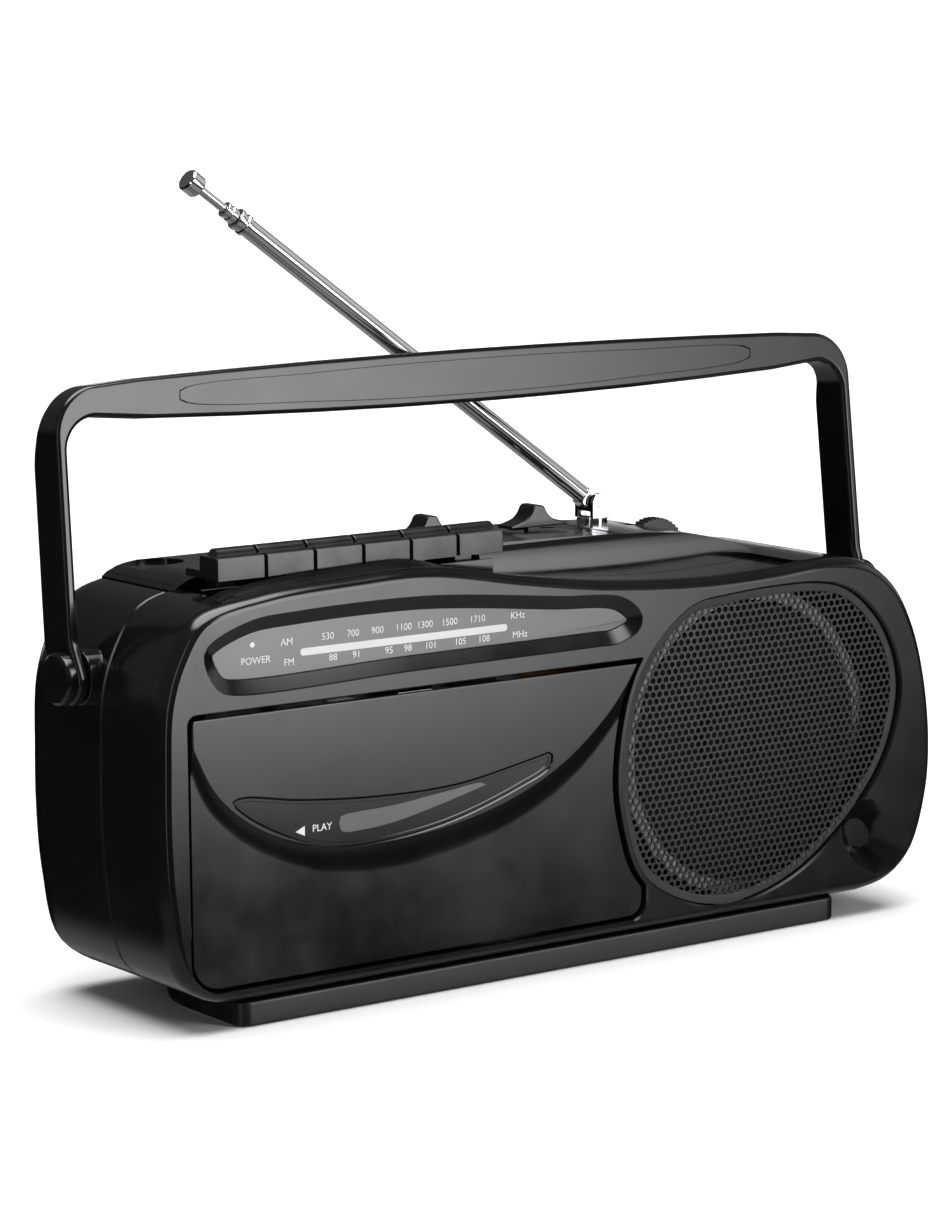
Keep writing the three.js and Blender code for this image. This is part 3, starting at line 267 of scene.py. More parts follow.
body_line = [(x, max(z, BASE_TOP)) for x, z in smooth_line([
    (26 - SIDE, BASE_TOP), (-60, BASE_TOP), (40, BASE_TOP), (SIDE - 32, BASE_TOP),
    (SIDE - 17.6, BASE_TOP + 3.1), (SIDE - 8, BASE_TOP + 11.3), (SIDE - 1.5, 37.4), (SIDE, 54),
    (SIDE - 2.2, 75.3), (SIDE - 7.7, 94.6), (SIDE - 16.5, 109.3), (SIDE - 28.6, CREST_RIGHT - 0.9),
    (104, CREST_RIGHT + 1.5), (81.6, CREST_RIGHT + 0.4),
    (52.7, CREST_RIGHT), (12.8, CREST_RIGHT + 2.7), (-18, CREST_LEFT - 5.5), (-51.7, CREST_LEFT),
    (-80.8, CREST_LEFT - 0.2), (-112, CREST_LEFT - 2.1), (14.4 - SIDE, CREST_LEFT - 7.4), (6 - SIDE, 112.5),
    (1.2 - SIDE, 98.8), (-SIDE, 77), (-SIDE, 56), (1.4 - SIDE, 38.7), (6.2 - SIDE, BASE_TOP + 9.5),
    (16.6 - SIDE, BASE_TOP + 1.6)], 220)]


def shell(end, seam, edge):
    """Half the case as one hollow skin: rounded end, straight sides, seam lip, then back inside."""
    way = 1 if seam > end else -1
    pull, depth = edge
    turns = [math.pi / 2 * k / 9 for k in range(10)]
    outside = [(end + way * depth * (1 - math.cos(a)), inset(body_line, pull * (1 - math.sin(a))))
               for a in turns]
    lip = [(seam - way * LIP, body_line), (seam, inset(body_line, LIP)), (seam, inset(body_line, WALL))]
    inside = [(end + way * (WALL + (depth - WALL) * (1 - math.cos(a))),
               inset(body_line, WALL + pull * (1 - math.sin(a)))) for a in reversed(turns[::3])]
    return loft(outside + lip + inside)


deck_low, deck_high = mm("top_deck")
key_low = mm("key_record")[0]
last_key_high = mm("key_pause")[1]
grille_low, grille_high = mm("speaker_grille")
door_low, door_high = mm("cassette_door")
lens_low, lens_high = mm("dial_lens")
SPEAKER_X, SPEAKER_Z = 77, 62
speaker_line = smooth_line([(SPEAKER_X + x, SPEAKER_Z + z) for x, z in (
    (-58.1, -4.3), (-55.7, -20.5), (-51, -33.4), (-42.9, -41.5), (-26.6, -48.7), (-10, -50), (11, -44.7),
    (28.1, -34.7), (45.3, -18.6), (53.9, -4.6), (57.7, 11.7), (55.8, 23.5), (49.1, 35.8), (36, 46.9),
    (23.1, 50.4), (-14.5, 50), (-30.8, 47.4), (-46.9, 34.1), (-54, 20.6))], 150)
dial_line = smooth_line([
    (-130.4, 102.5), (-126.4, 100.4), (-60, 100.6), (9.6, 100.8), (16.7, 100.9), (25.4, 104.6),
    (26.4, 108.9), (19.5, 115), (-5.8, 117.9), (-47.3, 122.2), (-65.6, 123), (-101.3, 122.6),
    (-118.7, 121.2), (-133.4, 114.9), (-134.6, 111)], 120)
door_line = rounded_box((door_low[0], door_high[0]), (door_low[2], door_high[2]), (9, 5, 1.5, 1.5))
DIAL_BEVEL = 4.2
DOOR_GAP = 1.3
RIM = 2.0


def flared(line, mouth, depth, flare):
    """A cutter with this outline whose mouth opens out by flare, to leave a bevelled edge."""
    return loft([(mouth - 1, inset(line, -flare - 1)), (mouth + flare, line), (depth, line)])


def front_cutters():
    door_hole = carve(flared(inset(door_line, -DOOR_GAP), FRONT, FRONT + 12, 0.5),
                      [slab(inset(speaker_line, -RIM), FRONT - 4, FRONT + 16)])
    dial_hole = loft([(FRONT - 1, inset(dial_line, -1.6)), (FRONT + 0.35, inset(dial_line, 0.35)),
                      (lens_low[1] - 0.2, inset(dial_line, DIAL_BEVEL - 0.1)),
                      (FRONT + 9, inset(dial_line, DIAL_BEVEL - 0.1))])
    key_well = slab(rounded_box((key_low[0] - 1.6, last_key_high[0] + 1.6), (key_low[1] - 1.7, SEAM + 3),
                                (1.2, 1.2, 0.5, 0.5), 3), 105, 150, facing=FACING_UP)
    deck_well = slab(rounded_box((last_key_high[0] - 4, deck_high[0] + 0.3), (deck_low[1] - 0.3, SEAM + 3),
                                 (0.3, 0.3, 0.3, 0.3), 2), 105, 150, facing=FACING_UP)
    return [flared(speaker_line, FRONT, FRONT + 9, 0.6), door_hole, dial_hole, key_well, deck_well]


def channel():
    """The shallow trough behind the crest, from the left of the keys to the end of the scoop."""
    ends = (deck_low[0] + 1, deck_high[0] + 2)
    top = sorted((x, z) for x, z in body_line if z > 100 and ends[0] < x < ends[1])

    def trough(drop, pull):
        across = [(x, z - drop) for x, z in top]
        width = ends[1] - ends[0]
        squeezed = [(ends[0] + pull + (x - ends[0]) * (width - 2 * pull) / width, z) for x, z in across]
        return [(squeezed[0][0], 150)] + squeezed + [(squeezed[-1][0], 150)]
    return loft([(FRONT + 3.6, trough(-0.6, 0)), (FRONT + 6.4, trough(1.5, 3)), (SEAM + 2, trough(1.5, 3))])


def dish(extra):
    """The faceted funnel in the lower right corner of the front, turned forty degrees."""
    bm = bmesh.new()
    bmesh.ops.create_cone(bm, cap_ends=True, segments=10, radius1=(5.2 + extra) * MM,
                          radius2=(14.4 + extra) * MM,
                          depth=(9.2 + extra) * MM)
    turn = Matrix.Rotation(math.radians(90), 4, "X")
    stretch = Matrix.Diagonal((1.2, 1, 0.82, 1))
    tilt = Matrix.Rotation(math.radians(40), 4, "Y")
    shift = Matrix.Translation(Vector((123, FRONT + 3.6 + extra / 2, 26)) * MM)
    bmesh.ops.transform(bm, matrix=shift @ tilt @ stretch @ turn, verts=bm.verts)
    bmesh.ops.recalc_face_normals(bm, faces=bm.faces)
    return bm


def apron():
    """The slope that rises from the crest to the foot of the first four keys."""
    left, right = key_low[0] - 9, key_low[0] + 82
    top = sorted((x, z) for x, z in body_line if z > 100 and left < x < right)

    def across(rise):
        raised = []
        for x, z in top:
            ease = min(1, (x - left) / 9, (right - x) / 18)
            raised.append((x, z + rise * ease * ease * (3 - 2 * ease)))
        return [(left, 125)] + [(right, 125)] + [(x, z) for x, z in reversed(raised)]
    return loft([(FRONT + 5, across(-0.7)), (FRONT + 8, across(0.6)), (key_low[1] - 1.7, across(1.6))])


dish_cup = carve(dish(1.8), [loft([(FRONT + 0.5, inset(body_line, 3)), (FRONT + 20, inset(body_line, 3))])],
                 "INTERSECT")
rim_ring = carve(slab(inset(speaker_line, -RIM), FRONT + 0.5, FRONT + 6),
                 [slab(speaker_line, FRONT - 3, FRONT + 9)])
front_skin = carve(carve(shell(FRONT, SEAM, FRONT_EDGE), [rim_ring, dish_cup], "UNION"),
                   front_cutters() + [channel(), dish(0)])
front_skin = carve(front_skin, [apron()], "UNION")
front_case = make("front_case", front_skin, gloss_abs, 28)
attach(front_case, "case")
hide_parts("front_shell")

boss_low, boss_high = mm("handle_cap_left")
PIVOT_Y = (boss_low[1] + boss_high[1]) / 2
PIVOT_Z = (boss_low[2] + boss_high[2]) / 2
battery_low, battery_high = mm("battery_door")
inlet_low, inlet_high = mm("mains_inlet")
jack_low, jack_high = mm("headphone_jack")
tuning_low, tuning_high = mm("tuning_wheel")
screw_boxes = [mm(f"case_screw_{i}") for i in (1, 2, 3, 4)]


def rod(radius, ends, centre, facing, edge=0.0, sides=48):
    """A round bar between two depths, centred on a point of its cross-section."""
    line = [(centre[0] + radius * math.cos(2 * math.pi * k / sides),
             centre[1] + radius * math.sin(2 * math.pi * k / sides)) for k in range(sides)]
    return slab(line, ends[0], ends[1], edge, 3, facing)


bosses = [rod(8.5, sorted((s * (SIDE - 14), s * rear_high[0])), (PIVOT_Y, PIVOT_Z), FACING_SIDE, 0.5)
          for s in (-1, 1)]
rear_cutters = [
    flared(rounded_box((battery_low[0] - 0.6, battery_high[0] + 0.6),
                       (battery_low[2] - 0.6, battery_high[2] + 0.6),
                       (1, 1, 3, 3)), BACK - 6, BACK + 2, 0),
    slab(rounded_box((inlet_low[0] - 0.4, inlet_high[0] + 0.4), (inlet_low[2] - 0.4, inlet_high[2] + 0.4),
                     (3, 3, 3, 3)), BACK - 8, BACK + 2),
    rod(4.3, (SIDE - 20, SIDE + 5), ((jack_low[1] + jack_high[1]) / 2, (jack_low[2] + jack_high[2]) / 2),
        FACING_SIDE, sides=32),
    slab(rounded_box((tuning_low[1] - 1.4, tuning_high[1] + 1.4),
                     (tuning_low[2] + 1.6, tuning_high[2] - 1.6),
                     (2, 2, 2, 2), 4), SIDE - 12, SIDE + 5, facing=FACING_SIDE),
    slab(rounded_box((deck_low[0] - 0.3, deck_high[0] + 0.3), (SEAM - 4, deck_high[1] + 0.3),
                     (0.3, 0.3, 1, 1), 2), 105, 150, facing=FACING_UP),
] + [rod(3.8, (BACK - 2, BACK + 2), ((low[0] + high[0]) / 2, (low[2] + high[2]) / 2),
         FACING_FRONT, sides=32)
     for low, high in screw_boxes]
vents = [slab(rounded_box((SPEAKER_X - 24 + 8 * k, SPEAKER_X - 21 + 8 * k), (52, 92), (1.5,) * 4, 4),
              BACK - 1.2, BACK + 2) for k in range(7)]
rear_skin = carve(carve(shell(BACK, rear_low[1], REAR_EDGE), bosses, "UNION"), rear_cutters + vents)
rear_case = make("rear_case", rear_skin, gloss_abs, 28)
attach(rear_case, "case")
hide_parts("rear_shell")

# ---- plinth -------------------------------------------------------------------------------
# The foot the recorder stands on: a shallow satin ABS tray under the case, corners rounded.
# Fine spark-eroded texture in the mould makes its gloss softer than the case above it.
satin_abs = finish("satin_abs", "#121214", "#19191b", 7, (0.28, 0.4), 0.7, 0.02, IOR=1.53)

plinth_low, plinth_high = mm("base_plinth")
foot_line = rounded_box((plinth_low[0], plinth_high[0]), (plinth_low[1], plinth_high[1]),
                        (5, 5, 45, 45), 12)
plinth = make("plinth", slab(foot_line, plinth_low[2], plinth_high[2], 0.9, 3, FACING_UP), satin_abs)
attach(plinth, "case")
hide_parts("base_plinth")

# ---- control deck -------------------------------------------------------------------------
# A separate gloss ABS moulding let into the top of the case. Its front wall swells into a
# long lens-shaped scoop to the right of the keys, and its top carries every sliding control.
DECK_TOP = deck_high[2]
deck_ridge = smooth_line([(deck_high[0], 119.6), (90, 122.6), (83, 124.9), (67, DECK_TOP - 2.9),
                          (34, DECK_TOP - 0.9), (0, DECK_TOP - 0.1), (-60, DECK_TOP),
                          (deck_low[0] + 12, DECK_TOP)],
                         60, closed=False)
deck_line = [(deck_low[0], deck_low[2]), (deck_high[0], deck_low[2])] + deck_ridge + [
    (deck_low[0] + 8.5, DECK_TOP - 0.5), (deck_low[0] + 5.4, DECK_TOP - 1.4),
    (deck_low[0] + 2.6, DECK_TOP - 2.8),
    (deck_low[0] + 0.6, DECK_TOP - 4.2)]
deck_front = SEAM - 3
wall_bow = [(deck_low[1] + 3 * (1 - math.cos(math.pi / 2 * k / 8)) if k else deck_low[1],
             120 + (DECK_TOP - 1 - 120) * math.sin(math.pi / 2 * k / 8)) for k in range(9)]
deck_side = [(deck_low[1], deck_low[2] - 1), (deck_high[1], deck_low[2] - 1), (deck_high[1], DECK_TOP - 3),
             (deck_high[1] - 0.6, DECK_TOP - 1.2), (deck_high[1] - 2.6, DECK_TOP + 1)] + [
    (deck_front + 0.4, DECK_TOP + 1)] + [(y, z) for y, z in reversed(wall_bow)]
knob_boxes = [mm("function_switch_knob"), mm("band_switch_knob")]
volume_low, volume_high = mm("volume_wheel")
antenna_low, antenna_high = mm("antenna_base")
ANTENNA_X = (antenna_low[0] + antenna_high[0]) / 2
ANTENNA_Y = (antenna_low[1] + antenna_high[1]) / 2
knob_slots = [slab(rounded_box((low[0] + 2, high[0] - 2),
                               ((low[1] + high[1]) / 2 - 1.6, (low[1] + high[1]) / 2 + 1.6),
                               (1.5,) * 4, 4), 122, 140, facing=FACING_UP) for low, high in knob_boxes]
wheel_slot = slab(rounded_box((volume_low[0] - 0.6, volume_high[0] + 0.6),
                              (volume_low[1] - 0.6, volume_high[1] + 0.6),
                              (0.8,) * 4, 3), 112, 140, facing=FACING_UP)
key_bay = slab([(deck_low[0] - 3, deck_low[1] - 3), (last_key_high[0] + 1.6, deck_low[1] - 3),
                (last_key_high[0] + 1.6, deck_front), (deck_low[0] - 3, deck_front)],
               105, 150, facing=FACING_UP)
arm_bay = slab([(key_low[0] - 1.5, 105), (last_key_high[0] + 3, 105),
                (last_key_high[0] + 3, DECK_TOP - 2.8),
                (key_low[0] - 1.5, DECK_TOP - 2.8)], deck_low[1] - 2, deck_front + 14)
hollow_line = [(deck_low[0] + 2.2, 105), (60, 105), (60, DECK_TOP - 4.6), (deck_low[0] + 2.2, DECK_TOP - 3)]
hollow = loft([(deck_front + 3, hollow_line), (deck_high[1] - 2.2, hollow_line)])
antenna_bore = rod(5.3, (110, 140), (ANTENNA_X, ANTENNA_Y), FACING_UP, sides=40)
rest_line = [(deck_low[0] + 13.5 + 9.2 * math.cos(2 * math.pi * k / 48),
              ANTENNA_Y - 3 + 7.6 * math.sin(2 * math.pi * k / 48)) for k in range(48)]
tip_rest = slab(rest_line, DECK_TOP - 1.1, DECK_TOP + 3, facing=FACING_UP)
deck_body = carve(slab(deck_line, deck_low[1] - 1, deck_high[1] + 1),
                  [slab(deck_side, deck_low[0] - 1, deck_high[0] + 1, facing=FACING_SIDE)], "INTERSECT")
deck_body = carve(deck_body, [key_bay, arm_bay, hollow, wheel_slot, antenna_bore, tip_rest] + knob_slots)
control_deck = make("control_deck", deck_body, gloss_abs, 30)
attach(control_deck, "case")
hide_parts("top_deck")

# ---- piano keys ---------------------------------------------------------------------------
# Six moulded ABS keys side by side on one steel rod: record, play, rewind, forward, stop, pause.
# Each has a flat finger face in front and a rounded ridge behind a groove. A thin screen under
# them hides their arms.
key_abs = finish("key_abs", "#131315", "#1a1a1d", 12, (0.2, 0.3), 1.2, 0.015, IOR=1.53)


def piano_key(node, cut_corner):
    low, high = mm(node)
    front, back = low[1], deck_front - 0.8
    top = high[2]
    cap = slab([(front, top - 8.8), (back, top - 8.8), (back, top - 6.4), (front + 10, top - 6.4),
                (front + 9.9, top - 2), (front + 9.5, top - 0.9), (front + 8.8, top - 0.2),
                (front + 7.8, top), (front + 6.6, top - 0.05), (front + 5.7, top - 0.5),
                (front + 5, top - 1.2), (front + 4.6, top - 2),
                (front + 1.1, top - 1.9), (front + 0.3, top - 2.2), (front, top - 3)],
               low[0], high[0], 0.35, 3, FACING_SIDE)
    middle = (low[0] + high[0]) / 2
    shaft = mm("key_shaft")
    pivot = ((shaft[0][1] + shaft[1][1]) / 2, (shaft[0][2] + shaft[1][2]) / 2)
    arm = slab([(back - 8, pivot[1] - 1.5), (pivot[0], pivot[1] - 2.6), (pivot[0], pivot[1] + 2.2),
                (back - 2.2, pivot[1] + 2.2), (back - 2.2, top - 8), (back - 8, top - 8)],
               middle - 3, middle + 3, facing=FACING_SIDE)
    eye = rod(3, (middle - 3, middle + 3), pivot, FACING_SIDE, sides=24)
    bore = rod(1.7, (middle - 5, middle + 5), pivot, FACING_SIDE, sides=24)
    key = carve(carve(cap, [arm, eye], "UNION"), [bore])
    if cut_corner:
        wedge = slab([(low[0] - 1, top - 2), (low[0] + 2.8, top - 2), (low[0] + 4, top + 1),
                      (low[0] - 1, top + 1)], front + 4.6, front + 11)
        key = carve(key, [wedge])
    piece = make(node.replace("key_", "") + "_key", key, key_abs, 30)
    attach(piece, node)
    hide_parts(node)


for name in ("record", "play", "rewind", "fast_forward", "stop_eject", "pause"):
    piano_key("key_" + name, name == "record")
screen_line = [(key_low[0] - 1.2, 117), (last_key_high[0] + 1.2, 117), (last_key_high[0] + 1.2, 128.6),
               (key_low[0] - 1.2, 128.6)]
key_screen = make("key_screen", slab(screen_line, deck_front - 11.4, deck_front - 10.2, 0.3, 2), gloss_abs)
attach(key_screen, "case")

# ---- switch knobs -------------------------------------------------------------------------
# Function and band slides: winged gloss ABS knobs that a thumb pushes along the deck.
for (low, high), name, node in zip(knob_boxes, ("function_knob", "band_knob"),
                                   ("function_switch_knob", "band_switch_knob")):
    middle, base = (low[0] + high[0]) / 2, DECK_TOP + 0.3
    half = smooth_line([(11, 0.9), (8.6, 1.5), (5.2, 2.6), (3.1, 4.6), (2.3, 6.2), (1.5, 6.9), (0, 7)],
                       16, closed=False)
    wing = [(middle - 11, base), (middle + 11, base)] + [(middle + x, base + z) for x, z in half] + [
        (middle - x, base + z) for x, z in reversed(half[:-1])]
    wings = slab(wing, low[1], high[1], 0.5, 3)
    stem = slab([(middle - 2.4, low[2]), (middle + 2.4, low[2]), (middle + 2.4, base + 0.5),
                 (middle - 2.4, base + 0.5)],
                (low[1] + high[1]) / 2 - 1.1, (low[1] + high[1]) / 2 + 1.1)
    knob = make(name, carve(wings, [stem], "UNION"), gloss_abs, 35)
    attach(knob, name)
    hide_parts(node)


# ---- thumbwheels --------------------------------------------------------------------------
# Volume wheel in the deck and tuning wheel in the right side: moulded ABS with a knurled rim.
def thumbwheel(node, teeth):
    low, high = mm(node)
    cx, cz = (low[0] + high[0]) / 2, (low[2] + high[2]) / 2
    radius = (high[0] - low[0]) / 2
    rim = [(cx + (radius - (k % 4 in (2, 3)) * 0.55) * math.cos(math.pi * k / (2 * teeth)),
            cz + (radius - (k % 4 in (2, 3)) * 0.55) * math.sin(math.pi * k / (2 * teeth)))
           for k in range(4 * teeth)]
    wheel = slab(rim, low[1], high[1], 0.35, 2)
    bore = rod(2.3, (low[1] - 1, high[1] + 1), (cx, cz), FACING_FRONT, sides=24)
    piece = make(node.replace("_wheel", "_thumbwheel"), carve(wheel, [bore]), satin_abs, 40)
    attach(piece, node)
    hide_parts(node)


thumbwheel("volume_wheel", 44)
thumbwheel("tuning_wheel", 56)

# ---- loudspeaker grille -------------------------------------------------------------------
# Punched sheet steel, stove-enamelled black: round holes in staggered rows on a slight dome.
# A plain border is left round the edge, where the sheet is clamped behind the case.
grille_enamel = finish("grille_enamel", "#151517", "#202023", 5, (0.34, 0.48), 0.5, 0.03, IOR=1.5)
PITCH = 2.55
HOLE = 0.96
DOME = 1.1


def perforated_sheet():
    bm = bmesh.new()
    row = PITCH * math.sqrt(3) / 2
    corner = PITCH / math.sqrt(3)
    columns = int((grille_high[0] - grille_low[0]) / PITCH) + 2
    rows = int((grille_high[2] - grille_low[2]) / row) + 2
    inside = [Vector(p) for p in inset(speaker_line, 1.6)]
    for j in range(rows):
        for i in range(columns):
            cx = grille_low[0] + (i + (j % 2) / 2) * PITCH
            cz = grille_low[2] + j * row
            if not holds(inside, cx, cz):
                continue
            outer, hole = [], []
            for k in range(12):
                angle = math.pi / 6 * k + math.pi / 6
                reach = corner if k % 2 == 0 else PITCH / 2
                outer.append(bm.verts.new((cx + reach * math.cos(angle), 0, cz + reach * math.sin(angle))))
                hole.append(bm.verts.new((cx + HOLE * math.cos(angle), 0, cz + HOLE * math.sin(angle))))
            for k in range(12):
                bm.faces.new((outer[k - 1], outer[k], hole[k], hole[k - 1]))
    bmesh.ops.remove_doubles(bm, verts=bm.verts, dist=0.02)
    for v in bm.verts:
        reach = math.hypot((v.co.x - SPEAKER_X) / 60, (v.co.z - SPEAKER_Z) / 54)
        v.co = Vector((v.co.x, grille_low[1] + 0.25 - DOME * max(0.0, 1 - reach * reach), v.co.z)) * MM
    bmesh.ops.recalc_face_normals(bm, faces=bm.faces)
    bmesh.ops.solidify(bm, geom=bm.faces, thickness=0.6 * MM)
    return bm


def holds(line, x, z):
    """True if a closed line goes round the point."""
    inside = False
    for i, b in enumerate(line):
        a = line[i - 1]
        if (a[1] > z) != (b[1] > z) and x < (b[0] - a[0]) * (z - a[1]) / (b[1] - a[1]) + a[0]:
            inside = not inside
    return inside


sheet_metal = make("grille_sheet", perforated_sheet(), grille_enamel, 40)
border = loft([(grille_low[1] + 0.1, inset(speaker_line, 3.0)), (grille_low[1], inset(speaker_line, 2.7)),
               (grille_low[1], inset(speaker_line, 0.4)), (grille_high[1], inset(speaker_line, 0.4)),
               (grille_high[1], inset(speaker_line, 3.0)), (grille_low[1] + 0.1, inset(speaker_line, 3.0))])
cap_faces = [f for f in border.faces if len(f.verts) > 20]
bmesh.ops.delete(border, geom=cap_faces, context="FACES_ONLY")
bmesh.ops.remove_doubles(border, verts=border.verts, dist=1e-6)
grille_border = make("grille_border", border, grille_enamel, 40)
for piece in (sheet_metal, grille_border):
    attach(piece, "case")
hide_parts("speaker_grille")

# ---- dial ---------------------------------------------------------------------------------
# A moulded acrylic lens behind the bevelled opening, painted grey on its back, with the scale
# screen-printed in white and a clear slot left for the pointer to show through.
lens_acrylic = finish("lens_acrylic", "#515355", "#58595b", 40, (0.05, 0.09), IOR=1.49)
print_ink = finish("print_ink", "#d4d5d6", "#e2e3e4", 1.5, (0.35, 0.5))
slot_clear = finish("slot_clear", "#b9bbbd", "#cfd1d2", 30, (0.08, 0.14), IOR=1.49)

lens_face = lens_low[1]
lens = make("dial_window", slab(inset(dial_line, DIAL_BEVEL), lens_face, lens_high[1], 0.3, 2), lens_acrylic)
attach(lens, "case")
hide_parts("dial_lens")


def words(entries, face, size):
    """Printed words as one mesh: (text, x, z) with x at the middle of the word."""
    bm = bmesh.new()
    for text, x, z in entries:
        curve = bpy.data.curves.new("word", "FONT")
        curve.body = text
        curve.size = size * MM
        curve.align_x = "CENTER"
        curve.align_y = "CENTER"
        curve.resolution_u = 3
        curve.extrude = 0.02 * MM
        carrier = bpy.data.objects.new("word", curve)
        bpy.context.scene.collection.objects.link(carrier)
        bpy.context.view_layer.update()
        flat = bpy.data.meshes.new_from_object(carrier.evaluated_get(bpy.context.evaluated_depsgraph_get()))
        flat.transform(Matrix.Translation((x * MM, (face - 0.03) * MM, z * MM))
                       @ Matrix.Rotation(math.pi / 2, 4, "X"))
        bm.from_mesh(flat)
        bpy.data.objects.remove(carrier)
    bmesh.ops.remove_doubles(bm, verts=bm.verts, dist=1e-6)
    return bm


scale = [("530", -90, 113.7), ("700", -81, 113.7), ("900", -72.2, 113.7), ("1100", -62.7, 113.7),
         ("1300", -54.9, 113.7), ("1500", -45.8, 113.6), ("1710", -35.4, 113.5), ("88", -88.2, 107.2),
         ("91", -79.8, 107.2), ("95", -68.1, 107.2), ("98", -61.2, 107.2), ("101", -52.8, 107.2),
         ("105", -41.8, 107.2), ("108", -33, 107.2), ("AM", -104.5, 113.4), ("FM", -103.8, 107.3),
         ("POWER", -115.4, 109), ("KHz", -20.2, 113.2), ("MHz", -19.4, 107.2)]
dial_print = make("dial_print", words(scale, lens_face, 3.0), print_ink)
slot_line = rounded_box((-99.8, -24.2), (108.8, 111), (1.1,) * 4, 5)
pointer_slot = make("pointer_slot", slab(slot_line, lens_face - 0.04, lens_face + 0.2), slot_clear)
led_low, led_high = mm("power_led")
led_dot = make("led_window", rod(0.8, (lens_face - 0.04, lens_face + 0.2),
                                 ((led_low[0] + led_high[0]) / 2, (led_low[2] + led_high[2]) / 2),
                                 FACING_FRONT, sides=24), print_ink)
for piece in (dial_print, pointer_slot, led_dot):
    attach(piece, "case")

# ---- cassette door ------------------------------------------------------------------------
# A gloss ABS panel hinged along its lower edge. Its upper part stands proud in a bulge that
# ends in a crescent-shaped bevel, and its right edge follows the rim of the loudspeaker.
DOOR_FACE = door_low[1]
STEP = 1.15
upper_arc = smooth_line([(-146, 103), (-138, 84), (-131, 71), (-119, 60.5), (-103, 53.2), (-86, 49.6),
                         (-60, 49.8), (-31, 54.6), (-8, 63.4), (9, 75.2), (21, 88), (31, 106)],
                        60, closed=False)
lower_arc = smooth_line([(-146, 100), (-140, 80.5), (-133.5, 67), (-120.4, 55), (-103.5, 46.6), (-86, 42),
                         (-59.5, 41.6), (-29.5, 47.2), (-5, 57.2), (12, 70.6), (24, 85), (34, 103)],
                        60, closed=False)


def below(arc):
    """The part of the door under an arc, run out past its edges."""
    return [(-160, 0), (60, 0), (60, 103)] + arc[::-1] + [(-160, 103)]


door_panel = carve(slab(door_line, DOOR_FACE - 0.1, door_high[1], 0.5, 3),
                   [slab(inset(speaker_line, -RIM - DOOR_GAP), FRONT - 4, FRONT + 16),
                    loft([(DOOR_FACE - 1, below([(x, z + 3.2) for x, z in upper_arc])),
                          (DOOR_FACE + 0.1, below(upper_arc)), (DOOR_FACE + STEP, below(lower_arc))])])
window_line = smooth_line([
    (-125.6, 68.6), (-122.6, 65), (-109.5, 57.1), (-91.9, 50.9), (-73.9, 49.9), (-48.1, 52.6), (-21.6, 60),
    (-9.4, 65.4), (-9, 69.8), (-13.8, 69.2), (-44.2, 64.4), (-73.7, 64.2), (-102.3, 66.6), (-122, 69.6)], 110)
window_well = loft([(DOOR_FACE - 1, inset(window_line, -0.9)), (DOOR_FACE + 0.35, inset(window_line, 0.2)),
                    (DOOR_FACE + 1.3, inset(window_line, 0.2))])
door_panel = carve(door_panel, [window_well])
door = make("door_panel", door_panel, gloss_abs, 30)
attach(door, "cassette_door")
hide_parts("cassette_door")

# ---- door window --------------------------------------------------------------------------
# A smoked acrylic insert, pressed into the bulge, with a raised inner border. The grey bar is
# the clear strip that shows the tape, and the play arrow is printed beside it.
smoked_acrylic = finish("smoked_acrylic", "#111213", "#17181a", 30, (0.05, 0.1), IOR=1.49)
clear_strip = finish("clear_strip", "#56585a", "#626466", 25, (0.06, 0.12), IOR=1.49)
insert_face = DOOR_FACE + 0.25
insert_rings = [(insert_face + 0.5, inset(window_line, 0.3)), (insert_face, inset(window_line, 0.55)),
                (insert_face, inset(window_line, 1.3)), (insert_face + 0.25, inset(window_line, 1.5)),
                (insert_face + 0.25, inset(window_line, 1.7))]
window = make("door_window_insert", loft([(insert_face + 0.9, inset(window_line, 0.3))] + insert_rings),
              smoked_acrylic, 25)
strip_line = smooth_line([(-88, 57.2), (-87, 54.9), (-80, 54.5), (-68, 55.4), (-52, 58.4), (-38, 61.6),
                          (-33.8, 62.7), (-35, 63.4), (-50, 62.2), (-68, 60.5), (-84, 60), (-87.4, 59.5)], 48)
strip = make("tape_strip", slab(strip_line, insert_face + 0.15, insert_face + 0.6), clear_strip)
arrow = slab([(-103.4, 56.8), (-100.2, 55.3), (-100.2, 58.3)], insert_face + 0.18, insert_face + 0.4)
play_print = words([("PLAY", -94.0, 57)], insert_face + 0.25, 3.1)
arrow_mesh = bpy.data.meshes.new("arrow")
arrow.to_mesh(arrow_mesh)
arrow.free()
play_print.from_mesh(arrow_mesh)
door_print = make("door_print", play_print, print_ink)
for piece in (window, strip, door_print):
    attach(piece, "cassette_door")
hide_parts("door_window")

# ---- handle -------------------------------------------------------------------------------
# One gloss ABS bow: flat legs, a deeper grip bar and rounded corners, pivoting on two pins.
# It leans back a few degrees at rest. A shallow lens-shaped grip plate is let into its front.
LEG_OUT = mm("handle")[1][0]
LEG_IN = LEG_OUT - 4
REACH = 88.2
LEAN = math.radians(5.5)


def lean(bm):
    shift = Matrix.Translation((0, PIVOT_Y * MM, PIVOT_Z * MM)) @ Matrix.Rotation(-LEAN, 4, "X")
    bmesh.ops.transform(bm, matrix=shift, verts=bm.verts)
    return bm


def corner(cx, cz, radius, start, end, steps=14):
    return [(cx + radius * math.cos(math.radians(start + (end - start) * k / steps)),
             cz + radius * math.sin(math.radians(start + (end - start) * k / steps)))
            for k in range(steps + 1)]


